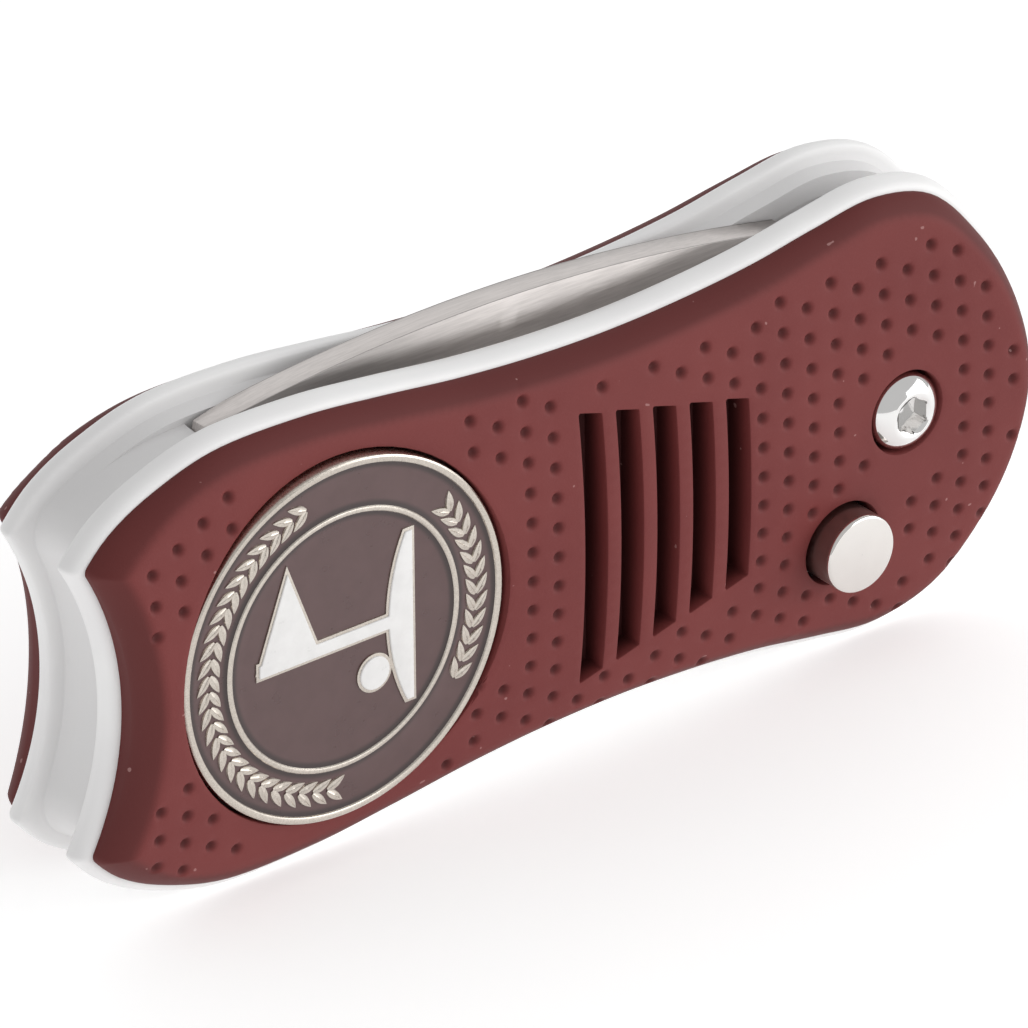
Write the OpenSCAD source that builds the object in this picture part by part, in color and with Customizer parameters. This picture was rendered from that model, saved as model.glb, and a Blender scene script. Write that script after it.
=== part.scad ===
// Spring-opened divot repair tool with a magnetic ball marker.
// Millimetres. X runs along the tool, Y through its thickness with the marker side towards -Y,
// and Z up. The tool stands on its long edge, and the origin is under its middle, on the
// surface that it stands on. Modules are drawn in the tool's own axes, which start at the
// middle of its length, thickness and width, and in_place() moves them to the origin above.

/* [Case] */
// Half thickness, from the middle plane to the crown of a grip
half_t = 6.85; // [6.6:0.05:7.2]
// Radius of the cylinder that the domed grip face is cut from
dome_r = 72.5; // [60:0.5:100]
// Half width of the blade channel between the two plates
channel_half = 1.5; // [1.4:0.05:1.6]
// Where a plate ends and its grip begins, from the middle plane
plate_out = 4.05; // [3.9:0.05:4.2]
// How far the plates' rims stand out past the grips
rim_out = 0.8; // [0.5:0.1:1]
// How far the spacer's edge stays inside the grips' outline
groove_in = 0.6; // [0.3:0.1:1]

/* [Marker] */
// Distance of the marker's centre from the middle of the tool
marker_x = -18.9; // [-19.5:0.1:-18.3]
// Marker radius
marker_r = 12.5; // [12.3:0.05:12.6]
// Marker thickness
marker_t = 1.8; // [1.7:0.05:1.9]
// Depth of the marker's face below the crown of the grip
marker_down = 0.4; // [0.3:0.05:0.5]

/* [Pivot and blade] */
// Pivot position along the tool
pivot_x = 26.1; // [25.6:0.1:26.4]
// Pivot position across the tool
pivot_z = 0.8; // [0.4:0.1:1]
// Half thickness of the blade
blade_half = 1.0; // [0.9:0.05:1]
// Radius of the blade's arched back
arch_r = 125; // [110:5:140]
// Height of the arched back above the tool's centre line
arch_top = 16.15; // [15.9:0.05:16.3]
// Distance from the pivot to the tips of the tines
blade_reach = 53; // [50:0.5:53]
// Angle between the closed blade's centre line and the tool's
blade_tilt = 9.2; // [8:0.1:10]
// Angle that the blade turns through to open
open_angle = 171; // [165:1:171]

/* [Push button] */
// Button position along the tool
button_x = 21.1; // [20.9:0.1:21.2]
// Button position across the tool
button_z = -7.15; // [-7.25:0.05:-6.9]
// Button radius
button_r = 2.7; // [2.6:0.05:2.8]
// How far the button stands out of the grip
button_out = 1.95; // [1.7:0.05:2.3]
// Travel of the button
button_travel = 1.5; // [1.2:0.1:1.6]

/* [Grip slots] */
// Number of slots in each grip
slots = 5; // [3:1:5]
// Middle of the first slot along the tool
slot_x = 0.75; // [0.6:0.05:0.9]
// Distance from one slot to the next
slot_pitch = 2.9; // [2.7:0.05:3]
// Slot width
slot_w = 1.75; // [1.5:0.05:1.9]
// Middle of the slots across the tool
slot_z = -0.27; // [-0.4:0.01:0]
// Half length of the first slot
slot_half = 9.45; // [9:0.05:9.6]
// How much shorter each following slot is at each end
slot_step = 0.7; // [0.5:0.05:0.8]
// Slot depth below the crown of the grip
slot_depth = 2.1; // [1.5:0.1:2.2]

/* [Hidden] */
$fn = 64;

// Running and assembly gaps
run_gap = 0.05;
slip_gap = 0.15;
cut = 0.5;

// The rims rest on small flats at the lowest points of the two bulges
widest = 15.4;
rest_flat = 0.1;
mid_z = widest + rim_out - rest_flat;
crown_bevel = 1.4;
rim_crest = 2.9;
rim_shoulder = 0.35;

// Marker seat
marker_face = half_t - marker_down;
marker_back = marker_face - marker_t;
seat_gap = 0.2;
cup_r = 6;
cup_wall = 0.7;
cup_deep = 2.25;
magnet_t = 1.5;

// Pivot stack, from the middle plane
screw_head_r = 2.4;
screw_head_face = 7.5;
screw_dome_h = 0.95;
screw_dome_in = 0.7;
screw_seat = 4.75;
screw_r = 1.5;
hex_flat = 2.3;
hex_deep = 1.5;
barrel_hex_flat = 2.5;
barrel_hex_deep = 0.8;
barrel_r = 2.2;
barrel_head_r = 3.2;
barrel_head_t = 0.9;
bushing_r = 2.75;
thrust_r = 3.6;
thrust_t = 0.42;
recess_r = 2.9;
spring_pocket_r = 4.8;
spring_pocket_deep = 1.65;
spring_post_r = 2.75;
spring_coil_r = 3.35;
spring_wire_r = 0.25;
spring_turns = 3;
spring_rise = 1.9 * spring_wire_r;
spring_link_r = 0.8 * spring_wire_r;
leg_r = 4.4;
leg_end = 0.35;
leg_hole_end = 0.2;
leg_gap = 0.08;
screw_bore_end = channel_half + 1.2;

// Blade, in its own axes: u from the pivot towards the tips, v towards the arched back
tang_r = 5.4;
arch_x = -5.9;
tine_in = 2.6;
tine_out = 4.6;
gap_root = 25;
shoulder_u = 16;
shank_v = 6.3;
back_corner = [21, 13.5];
back_end = [27, 6.2];
pin_r = 0.9;
pin_gap = 0.03;
pin_sink = 1;

// Push button stack, from the middle plane and counted towards the front
button_surface = half_t - dome_r + sqrt(dome_r * dome_r - button_z * button_z);
button_face = button_surface + button_out;
button_hole_r = 3;
button_edge = 0.2;
neck_in_cap = 2.5;
plunger_neck_r = 1.6;
cap_bottom = 4.2;
flange_r = 3.3;
flange_top = 1.4;
flange_t = 0.8;
stem_r = 1.2;
stem_room = 0.3;
stem_bore_deep = channel_half + button_travel + stem_room;
button_pocket_r = 2.6;
button_pocket_deep = 1.6;
clip_r = stem_r + 0.1;
clip_wire_r = 0.3;
clip_y = 0.4;
btn_wire_r = 0.15;
btn_coil_r = 1.85;
btn_turns = 3;
btn_link_r = 0.8 * btn_wire_r;

// The bounding box is from the button's face to the rear crown
mid_y = (button_face - half_t) / 2;

// Case screws sit in the spacer, clear of the blade
screw_spots = [[-31.6, 8], [-31.6, -8], [-4, -10], [27.4, -12.4]];
case_screw_r = 0.7;
case_head_r = 1.3;
case_head_t = 0.8;
case_hex_flat = 1.04;
case_hex_deep = 0.4;
head_sunk = 0.1;
thread_end = channel_half + 1.6;
insert_r = 1.15;
insert_end = plate_out - 0.6;
insert_bore_end = channel_half + 1.8;

// Half of the grips' outline, from the tip to just past a horn, as points on a smooth curve
edge = [
    [37.4, 0], [36.5, 5], [34.2, 9.8], [30.4, 14], [25.6, 15.4], [20.6, 14.8],
    [15.6, 13.95], [10, 13.4], [4, 13.15], [-2, 13.3], [-8, 13.8], [-14, 14.6],
    [-20, 15.25], [-26.7, 15.25], [-31.5, 13.95], [-34.9, 12.2], [-37.2, 9.9], [-39.5, 6.9]
];
edge_steps = 3;
saddle_x = -34.4;
saddle_r = 21;

function mirrored(p) = [p[0], -p[1]];
function edge_at(i) = i < 0 ? mirrored(edge[-i]) : edge[min(i, len(edge) - 1)];
function curve(a, b, c, d, t) =
    0.5 * (2 * b + (c - a) * t + (2 * a - 5 * b + 4 * c - d) * t * t
    + (3 * b - a - 3 * c + d) * t * t * t);
function slope(a, b, c, d, t) =
    0.5 * ((c - a) + 2 * (2 * a - 5 * b + 4 * c - d) * t + 3 * (3 * b - a - 3 * c + d) * t * t);
function pushed(p, s, by) = p + by * [s[1], -s[0]] / norm(s);
function half_edge(by) = [
    for (i = [0:len(edge) - 2], k = [0:edge_steps - 1])
        let (
            t = k / edge_steps,
            a = edge_at(i - 1), b = edge_at(i), c = edge_at(i + 1), d = edge_at(i + 2)
        )
        pushed(curve(a, b, c, d, t), slope(a, b, c, d, t), by)
];

// The case outline moved outwards by a distance, with the thumb saddle cut into its back end
module outline(by = 0) {
    upper = half_edge(by);
    lower = [for (i = [len(upper) - 1:-1:1]) mirrored(upper[i])];
    difference() {
        polygon(concat(upper, lower));
        translate([saddle_x - saddle_r, 0]) circle(r = saddle_r - by, $fn = 128);
    }
}

// A flat shape drawn in X and Z, filled from y = from to y = to
module slab(from, to) {
    translate([0, to, 0]) rotate([90, 0, 0]) linear_extrude(to - from) children();
}

module rod(x, z, r, from, to, sides = 64) {
    translate([x, to, z]) rotate([90, 0, 0]) cylinder(h = to - from, r = r, $fn = sides);
}

// A hexagonal rod with a given width across its flats
module hex_rod(x, z, flat, from, to) {
    rod(x, z, flat / sqrt(3), from, to, 6);
}

module rod_cone(x, z, r_from, r_to, from, to) {
    translate([x, to, z]) rotate([90, 0, 0]) cylinder(h = to - from, r1 = r_to, r2 = r_from);
}

module ring_y(x, z, coil, wire, y) {
    translate([x, y, z]) rotate([90, 0, 0])
        rotate_extrude($fn = 48) translate([coil, 0]) circle(r = wire, $fn = 16);
}

module in_place() {
    translate([0, mid_y, mid_z]) children();
}

module above_rest() {
    intersection() {
        children();
        translate([-60, -20, -mid_z]) cube([120, 40, 60]);
    }
}

// The room that the blade and the button need between the plates
module channel_room() {
    polygon([
        [-27.8, 30], [-27.8, 2.6], [-26.4, 2.2], [4, -3.9], [12, -6.4], [16.6, -10.8],
        [29.4, -10.8], [33.4, -14.5], [36, -30], [70, -30], [70, 30]
    ]);
}

// One side plate with its rim, drawn on the rear side
module plate_blank() {
    slab(channel_half, rim_crest) outline(rim_out);
    slab(rim_crest, plate_out) outline(rim_shoulder);
}

module screw_holes(r, from, to) {
    for (p = screw_spots) rod(p[0], p[1], r, from, to);
}

module front_plate() {
    color("whitesmoke") in_place() difference() {
        above_rest() mirror([0, 1, 0]) plate_blank();
        rod(pivot_x, pivot_z, screw_r + run_gap, -plate_out - cut, 0);
        rod(button_x, button_z, button_r + run_gap, -plate_out - cut, 0);
        rod(marker_x, 0, cup_r + run_gap, -plate_out - cut, -marker_back + cup_deep);
        screw_holes(case_screw_r + run_gap, -plate_out - cut, 0);
        screw_holes(case_head_r + slip_gap, -plate_out - cut, -plate_out + case_head_t);
        for (p = stop_spots()) rod(p[0], p[1], pin_r, -channel_half - pin_sink, 0);
    }
}

module rear_plate() {
    color("whitesmoke") in_place() difference() {
        above_rest() plate_blank();
        rod(pivot_x, pivot_z, barrel_r + run_gap, 0, plate_out + cut);
        rod(pivot_x, pivot_z, barrel_head_r + slip_gap, plate_out - barrel_head_t, plate_out + cut);
        difference() {
            rod(pivot_x, pivot_z, spring_pocket_r, 0, channel_half + spring_pocket_deep);
            rod(pivot_x, pivot_z, spring_post_r, 0, plate_out);
        }
        rod(button_x, button_z, stem_r + run_gap, 0, stem_bore_deep);
        rod(button_x, button_z, button_pocket_r, 0, channel_half + button_pocket_deep);
        screw_holes(insert_r, 0, insert_end);
        for (p = stop_spots()) rod(p[0], p[1], pin_r, 0, channel_half + pin_sink);
    }
}

module back_spacer() {
    color("whitesmoke") in_place() difference() {
        slab(-channel_half, channel_half) difference() {
            outline(-groove_in);
            channel_room();
        }
        screw_holes(case_screw_r + run_gap, -channel_half - cut, channel_half + cut);
    }
}

// A soft grip on the rear side: domed across the tool, bevelled round its edge, with its slots
module grip_blank() {
    difference() {
        intersection() {
            union() {
                slab(plate_out, plate_out + crown_bevel) outline(0);
                slab(plate_out + crown_bevel, half_t) outline(-crown_bevel);
            }
            translate([0, half_t - dome_r, 0]) rotate([0, 90, 0])
                cylinder(h = 100, r = dome_r, center = true, $fn = 256);
        }
        for (i = [0:slots - 1])
            slab(half_t - slot_depth, half_t + cut)
                translate([slot_x + i * slot_pitch, slot_z])
                    square([slot_w, 2 * (slot_half - i * slot_step)], center = true);
    }
}

module front_grip() {
    color([0.47, 0.2, 0.19]) in_place() difference() {
        mirror([0, 1, 0]) grip_blank();
        rod(marker_x, 0, marker_r + seat_gap, -half_t - cut, -marker_back);
        rod(marker_x, 0, cup_r + seat_gap, -half_t - cut, 0);
        rod(pivot_x, pivot_z, recess_r, -half_t - cut, 0);
        rod(button_x, button_z, button_hole_r, -half_t - cut, 0);
    }
}

module rear_grip() {
    color([0.47, 0.2, 0.19]) in_place() difference() {
        grip_blank();
        rod(pivot_x, pivot_z, recess_r, 0, half_t + cut);
    }
}

module case_screws() {
    color("silver") in_place() for (p = screw_spots) {
        rod(p[0], p[1], case_screw_r, -plate_out + case_head_t, thread_end);
        difference() {
            rod(p[0], p[1], case_head_r, -plate_out + head_sunk, -plate_out + case_head_t);
            hex_rod(p[0], p[1], case_hex_flat, -plate_out, -plate_out + head_sunk + case_hex_deep);
        }
    }
}

module case_inserts() {
    color("goldenrod") in_place() for (p = screw_spots) difference() {
        rod(p[0], p[1], insert_r, channel_half + run_gap, insert_end);
        rod(p[0], p[1], case_screw_r, channel_half, insert_bore_end);
    }
}

// Where the blade's edges meet the two stop pins, in the tool's axes
function from_blade(u, v) = [
    pivot_x - u * cos(blade_tilt) + v * sin(blade_tilt),
    pivot_z + u * sin(blade_tilt) + v * cos(blade_tilt)
];
function opened(p) = [
    pivot_x + (p[0] - pivot_x) * cos(open_angle) + (p[1] - pivot_z) * sin(open_angle),
    pivot_z - (p[0] - pivot_x) * sin(open_angle) + (p[1] - pivot_z) * cos(open_angle)
];
back_line = back_end - back_corner;
back_normal = [-back_line[1], back_line[0]] / norm(back_line);
function stop_spots() = [
    from_blade(shoulder_u, -shank_v - pin_r - pin_gap),
    opened((back_corner + back_end) / 2 + (pin_r + pin_gap) * back_normal)
];

module stop_pins() {
    color("silver") in_place() for (p = stop_spots())
        rod(p[0], p[1], pin_r, -channel_half - pin_sink, channel_half + pin_sink);
}

// A shape given in the blade's axes, turned to where the closed blade lies
module in_blade() {
    translate([pivot_x, pivot_z]) rotate(-blade_tilt) mirror([1, 0]) children();
}

module blade_outline() {
    difference() {
        union() {
            intersection() {
                translate([arch_x, arch_top - arch_r]) circle(r = arch_r, $fn = 512);
                polygon(concat(
                    [for (p = [
                        [0, -4.6], [6, -4.3], [12, -shank_v], [gap_root, -shank_v],
                        [blade_reach - 3, -tine_out], [blade_reach - 0.6, -tine_out + 0.4],
                        [blade_reach, -tine_out + 0.9], [blade_reach, tine_in + 0.8],
                        [blade_reach - 0.7, 8]
                    ]) from_blade(p[0], p[1])],
                    [[-24, 20], [15, 20], back_corner, back_end]
                ));
            }
            translate([pivot_x, pivot_z]) circle(r = tang_r);
        }
        in_blade() {
            translate([gap_root, 0]) circle(r = tine_in);
            polygon([
                [gap_root, -tine_in], [blade_reach - 4, -tine_in], [blade_reach + 5, -tine_in - 0.6],
                [blade_reach + 5, tine_in + 0.6], [blade_reach - 4, tine_in], [gap_root, tine_in]
            ]);
        }
    }
}

module fork_blade() {
    color("darkgray") in_place() difference() {
        slab(-blade_half, blade_half) blade_outline();
        rod(pivot_x, pivot_z, bushing_r, -blade_half - cut, blade_half + cut);
        translate([pivot_x + leg_r, 0, pivot_z]) rod(0, 0, spring_wire_r + leg_gap, leg_hole_end, blade_half + cut);
    }
}

module blade_bushing() {
    color("peru") in_place() difference() {
        rod(pivot_x, pivot_z, bushing_r, -blade_half, blade_half);
        rod(pivot_x, pivot_z, barrel_r + run_gap, -blade_half - cut, blade_half + cut);
    }
}

module pivot_screw() {
    color("silver") in_place() difference() {
        union() {
            rod(pivot_x, pivot_z, screw_head_r, -screw_head_face + screw_dome_h, -screw_seat);
            rod_cone(pivot_x, pivot_z, screw_head_r - screw_dome_in, screw_head_r,
                -screw_head_face, -screw_head_face + screw_dome_h);
            rod(pivot_x, pivot_z, screw_r, -screw_seat, channel_half + 1);
        }
        hex_rod(pivot_x, pivot_z, hex_flat, -screw_head_face - cut, -screw_head_face + hex_deep);
    }
}

module screw_washer() {
    color("silver") in_place() difference() {
        rod(pivot_x, pivot_z, recess_r - slip_gap, -screw_seat, -plate_out);
        rod(pivot_x, pivot_z, screw_r + run_gap, -screw_seat - cut, -plate_out + cut);
    }
}

// The barrel nut that the blade turns on; the screw threads into it from the front
module pivot_barrel() {
    color("silver") in_place() difference() {
        union() {
            rod(pivot_x, pivot_z, barrel_r, -channel_half, plate_out - barrel_head_t);
            rod(pivot_x, pivot_z, barrel_head_r, plate_out - barrel_head_t, plate_out);
        }
        rod(pivot_x, pivot_z, screw_r, -channel_half - cut, screw_bore_end);
        hex_rod(pivot_x, pivot_z, barrel_hex_flat, plate_out - barrel_hex_deep, plate_out + cut);
    }
}

module thrust_washer(from) {
    difference() {
        rod(pivot_x, pivot_z, thrust_r, from, from + thrust_t);
        rod(pivot_x, pivot_z, barrel_r + run_gap, from - cut, from + thrust_t + cut);
    }
}

module front_thrust_washer() {
    color("peru") in_place() thrust_washer(-channel_half + 0.02);
}

module rear_thrust_washer() {
    color("peru") in_place() thrust_washer(channel_half - 0.02 - thrust_t);
}

// The torsion spring that throws the blade open, in its pocket in the rear plate
module opening_spring() {
    color("dimgray") in_place() {
        first = channel_half + 2 * run_gap + spring_wire_r;
        last = first + (spring_turns - 1) * spring_rise;
        for (i = [0:spring_turns - 1])
            ring_y(pivot_x, pivot_z, spring_coil_r, spring_wire_r, first + i * spring_rise);
        rod(pivot_x - spring_coil_r, pivot_z, spring_link_r, first, last, 16);
        translate([pivot_x + spring_coil_r, first, pivot_z]) rotate([0, 90, 0])
            cylinder(h = leg_r - spring_coil_r, r = spring_wire_r, $fn = 16);
        rod(pivot_x + leg_r, pivot_z, spring_wire_r, leg_end, first + spring_link_r, 16);
    }
}

module button_cap() {
    color("gainsboro") in_place() difference() {
        union() {
            rod(button_x, button_z, button_r, -button_face + button_edge, -cap_bottom);
            rod_cone(button_x, button_z, button_r - button_edge, button_r,
                -button_face, -button_face + button_edge);
        }
        rod(button_x, button_z, plunger_neck_r, -cap_bottom - neck_in_cap, -cap_bottom + cut);
    }
}

// The plunger under the button: its wide flange is the catch that locks the blade's tang
module lock_plunger() {
    color("silver") in_place() difference() {
        union() {
            rod(button_x, button_z, plunger_neck_r, -cap_bottom - neck_in_cap, -cap_bottom);
            rod(button_x, button_z, button_r - 0.1, -cap_bottom, -flange_top);
            rod(button_x, button_z, flange_r, -flange_top, -flange_top + flange_t);
            rod(button_x, button_z, stem_r, -flange_top + flange_t, channel_half);
        }
        ring_y(button_x, button_z, clip_r, clip_wire_r, clip_y);
    }
}

// A wire clip in the stem's groove that the return spring pushes on
module plunger_clip() {
    color("dimgray") in_place() ring_y(button_x, button_z, clip_r, clip_wire_r, clip_y);
}

module button_spring() {
    color("dimgray") in_place() {
        first = clip_y + clip_wire_r + btn_wire_r;
        pitch = (channel_half + button_pocket_deep - first - btn_wire_r) / (btn_turns - 1);
        for (i = [0:btn_turns - 1])
            ring_y(button_x, button_z, btn_coil_r, btn_wire_r, first + i * pitch);
        rod(button_x + btn_coil_r, button_z, btn_link_r,
            first, first + (btn_turns - 1) * pitch, 16);
    }
}

module magnet_cup() {
    color("silver") in_place() difference() {
        rod(marker_x, 0, cup_r, -marker_back, -marker_back + cup_deep);
        rod(marker_x, 0, cup_r - cup_wall, -marker_back - cut, -marker_back + magnet_t);
    }
}

module marker_magnet() {
    color("darkgray") in_place()
        rod(marker_x, 0, cup_r - cup_wall, -marker_back + 0.1, -marker_back + magnet_t);
}

// Marker: a struck metal disc with a raised rim, a raised inner ring and two sunk fields
rim_w = 0.55;
ring_in = 8.6;
ring_out = 9.1;
field_deep = 0.35;
enamel_t = 0.25;
emblem_down = 0.02;

module field(r_in, r_out, from, to) {
    difference() {
        rod(marker_x, 0, r_out, from, to);
        if (r_in > 0) rod(marker_x, 0, r_in, from - cut, to + cut);
    }
}

module marker_coin() {
    color("tan") in_place() difference() {
        rod(marker_x, 0, marker_r, -marker_face, -marker_back, 128);
        field(ring_out, marker_r - rim_w, -marker_face - cut, -marker_face + field_deep);
        field(0, ring_in, -marker_face - cut, -marker_face + field_deep);
    }
}

module coin_outer_enamel() {
    color([0.4, 0.28, 0.28]) in_place()
        field(ring_out, marker_r - rim_w, -marker_face + field_deep - enamel_t,
            -marker_face + field_deep);
}

// A pin flag, its ball and the green under them: the plain device in the marker's middle
pole_w = 0.9;
pole_top = 6.6;
flag_out = 6.2;
flag_w = 4.6;
green_top = -3.5;
green_bottom = -5.4;
green_half = 6;
green_r = 14;
ball_spot = [-3.2, -2.35];
ball_r = 1.15;
module flag_device() {
    translate([-pole_w / 2, green_bottom]) square([pole_w, pole_top - green_bottom]);
    polygon([[0, pole_top], [flag_out, pole_top - flag_w / 2], [0, pole_top - flag_w]]);
    intersection() {
        translate([0, green_top - green_r]) circle(r = green_r, $fn = 128);
        translate([-green_half, green_bottom]) square([2 * green_half, green_top - green_bottom]);
    }
    translate(ball_spot) circle(r = ball_r);
}

// The device reads upright with the saddle end of the tool held up
module placed_device() {
    translate([marker_x, 0]) rotate(90) flag_device();
}

module coin_inner_enamel() {
    color([0.4, 0.28, 0.28]) in_place() difference() {
        field(0, ring_in, -marker_face + field_deep - enamel_t, -marker_face + field_deep);
        slab(-marker_face - cut, 0) placed_device();
    }
}

module coin_emblem() {
    color("white") in_place()
        slab(-marker_face + emblem_down, -marker_face + field_deep) placed_device();
}

front_plate();
rear_plate();
back_spacer();
front_grip();
rear_grip();
case_screws();
case_inserts();
stop_pins();
fork_blade();
blade_bushing();
pivot_screw();
screw_washer();
pivot_barrel();
front_thrust_washer();
rear_thrust_washer();
opening_spring();
button_cap();
lock_plunger();
plunger_clip();
button_spring();
magnet_cup();
marker_magnet();
marker_coin();
coin_outer_enamel();
coin_inner_enamel();
coin_emblem();
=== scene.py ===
# %% [markdown]
# # A spring-opened divot tool
# The tool has two soft dimpled grips on white side plates, a steel fork folded between them,
# a push button, a pivot screw and a magnetic ball marker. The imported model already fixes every
# size, place and joint, so this script only makes the looks. It starts by loading that model.

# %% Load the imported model
import math

import bmesh
import bpy
import numpy as np
from mathutils import Matrix, Vector
from mathutils.geometry import delaunay_2d_cdt
from mathutils.kdtree import KDTree


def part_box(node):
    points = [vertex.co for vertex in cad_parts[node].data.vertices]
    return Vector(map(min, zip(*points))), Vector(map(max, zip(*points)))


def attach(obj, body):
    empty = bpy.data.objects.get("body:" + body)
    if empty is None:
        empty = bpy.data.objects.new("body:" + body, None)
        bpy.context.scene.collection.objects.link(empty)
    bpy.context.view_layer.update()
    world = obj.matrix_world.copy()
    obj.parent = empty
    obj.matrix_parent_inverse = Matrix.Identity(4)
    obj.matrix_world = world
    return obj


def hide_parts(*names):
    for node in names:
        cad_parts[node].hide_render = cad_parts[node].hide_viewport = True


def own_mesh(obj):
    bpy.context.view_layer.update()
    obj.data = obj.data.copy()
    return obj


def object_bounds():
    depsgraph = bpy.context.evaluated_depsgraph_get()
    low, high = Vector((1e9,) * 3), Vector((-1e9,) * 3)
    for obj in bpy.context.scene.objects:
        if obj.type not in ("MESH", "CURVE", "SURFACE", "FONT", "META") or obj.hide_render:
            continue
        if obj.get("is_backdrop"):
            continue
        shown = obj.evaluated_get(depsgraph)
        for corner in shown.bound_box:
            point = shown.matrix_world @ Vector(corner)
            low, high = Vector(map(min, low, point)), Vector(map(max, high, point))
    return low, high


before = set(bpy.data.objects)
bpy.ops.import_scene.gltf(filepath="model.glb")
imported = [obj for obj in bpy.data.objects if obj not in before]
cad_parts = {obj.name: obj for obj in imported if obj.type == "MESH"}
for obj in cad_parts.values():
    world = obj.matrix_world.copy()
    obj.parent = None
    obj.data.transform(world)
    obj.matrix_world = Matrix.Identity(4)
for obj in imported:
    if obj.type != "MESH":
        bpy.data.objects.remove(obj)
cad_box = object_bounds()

MM = 0.001

# %% [markdown]
# ## Where things are
# Shapes are easiest to write in the tool's own axes, in millimetres: x along the tool from its
# middle, y through its thickness from its middle plane, z across its width from its centre
# line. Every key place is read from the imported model's boxes, so nothing is fitted afterwards.

# %% Key places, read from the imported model
def box_mm(node):
    low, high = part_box(node)
    return np.array(low) / MM, np.array(high) / MM


def centre_mm(node):
    low, high = box_mm(node)
    return (low + high) / 2


MID_Y = centre_mm("fork_blade")[1]
MID_Z = centre_mm("marker_coin")[2]
MARKER_X = centre_mm("marker_coin")[0]
PIVOT = centre_mm("screw_washer")[[0, 2]] - [0, MID_Z]
BUTTON = centre_mm("button_cap")[[0, 2]] - [0, MID_Z]
HALF_T = box_mm("rear_grip")[1][1] - MID_Y
PLATE_OUT = box_mm("rear_plate")[1][1] - MID_Y
CHANNEL = box_mm("rear_plate")[0][1] - MID_Y
MARKER_FACE = MID_Y - box_mm("marker_coin")[0][1]
MARKER_BACK = MID_Y - box_mm("marker_coin")[1][1]
MARKER_R = (box_mm("marker_coin")[1][0] - box_mm("marker_coin")[0][0]) / 2
BUTTON_FACE = MID_Y - box_mm("button_cap")[0][1]
BUTTON_R = (box_mm("button_cap")[1][0] - box_mm("button_cap")[0][0]) / 2
CUP_R = (box_mm("magnet_cup")[1][0] - box_mm("magnet_cup")[0][0]) / 2
CUP_DEEP = box_mm("magnet_cup")[1][1] - box_mm("magnet_cup")[0][1]
SCREW_FACE = MID_Y - box_mm("pivot_screw")[0][1]
SCREW_SEAT = MID_Y - box_mm("screw_washer")[0][1]


def place(x, y, z):
    """A point in the tool's own axes, as a Blender vector in metres."""
    return Vector((x * MM, (y + MID_Y) * MM, (z + MID_Z) * MM))


print("mid plane", round(MID_Y, 3), "centre line", round(MID_Z, 3), "pivot", PIVOT.round(2))

# %% [markdown]
# ## Small mesh helpers
# Most parts of the tool are turned or moulded: a profile spun round an axis, or a row of
# closed loops joined ring to ring. Two helpers cover both, and they rest on three plain ones:
# one makes an object from points and faces, one sets where its shading breaks, and one applies
# its modifiers.

# %% Objects from points and faces
def piece_from(name, points, faces, smooth_angle=35):
    """A mesh object from points in metres. Faces are turned outwards and shaded smooth."""
    mesh = bpy.data.meshes.new(name)
    mesh.from_pydata([tuple(p) for p in points], [], faces)
    shape = bmesh.new()
    shape.from_mesh(mesh)
    bmesh.ops.recalc_face_normals(shape, faces=shape.faces)
    shape.to_mesh(mesh)
    shape.free()
    thing = bpy.data.objects.new(name, mesh)
    bpy.context.scene.collection.objects.link(thing)
    smooth(thing, smooth_angle)
    return thing


def smooth(thing, angle=35):
    mesh = thing.data
    mesh.shade_smooth()
    mesh.set_sharp_from_angle(angle=math.radians(angle))


def baked(thing):
    """Applies the live modifiers, so that the piece is a plain mesh."""
    graph = bpy.context.evaluated_depsgraph_get()
    mesh = bpy.data.meshes.new_from_object(thing.evaluated_get(graph))
    old = thing.data
    thing.modifiers.clear()
    thing.data = mesh
    bpy.data.meshes.remove(old)
    return thing


# %% Lofted and turned shapes
TURN_STEPS = 96


def loft(name, rings, smooth_angle=35, round_again=False):
    """Joins closed rings of equally many points. The last ring is joined to the first one
    for a hollow ring, and otherwise both ends are closed."""
    count, total = len(rings[0]), len(rings)
    points = [p for ring in rings for p in ring]
    faces = []
    for r in range(total if round_again else total - 1):
        a, b = r * count, (r + 1) % total * count
        for i in range(count):
            j = (i + 1) % count
            faces.append((a + i, a + j, b + j, b + i))
    if not round_again:
        faces.append(tuple(range(count - 1, -1, -1)))
        faces.append(tuple(len(points) - count + i for i in range(count)))
    return piece_from(name, points, faces, smooth_angle)


def turned(name, profile, centre, steps=TURN_STEPS, smooth_angle=35, hollow=False):
    """Spins a profile of (radius, y) points round an axis that runs along Y through centre.
    A radius may be a function of the angle, which makes a hexagon as easily as a circle."""
    turn = [2 * math.pi * k / steps for k in range(steps)]
    rings = []
    for radius, y in profile:
        reach = radius if callable(radius) else (lambda angle, r=radius: r)
        rings.append([
            place(centre[0] + reach(a) * math.cos(a), y, centre[1] + reach(a) * math.sin(a))
            for a in turn
        ])
    return loft(name, rings, smooth_angle, hollow)


def washer(name, centre, inner, outer, start, end, edge=0.06):
    """A flat ring with its four edges broken."""
    return turned(name, [
        (inner + edge, start), (outer - edge, start), (outer, start + edge),
        (outer, end - edge), (outer - edge, end), (inner + edge, end),
        (inner, end - edge), (inner, start + edge),
    ], centre, TURN_STEPS, 30, hollow=True)


print("steps in a full turn:", TURN_STEPS)

# %% [markdown]
# Stamped and moulded parts then need work on a finished solid. The blade and the stop pins start
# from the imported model's own solids, whose loose triangles are merged first. Holes are cut with
# round solids, and sharp edges are broken, as a tumbling drum does to real parts.

# %% Work on finished solids
def rested(thing):
    """Lifts the lowest points onto the floor, as the wear flats of a real rim do."""
    for vertex in thing.data.vertices:
        vertex.co.z = max(vertex.co.z, 0.0)
    return thing


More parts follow.
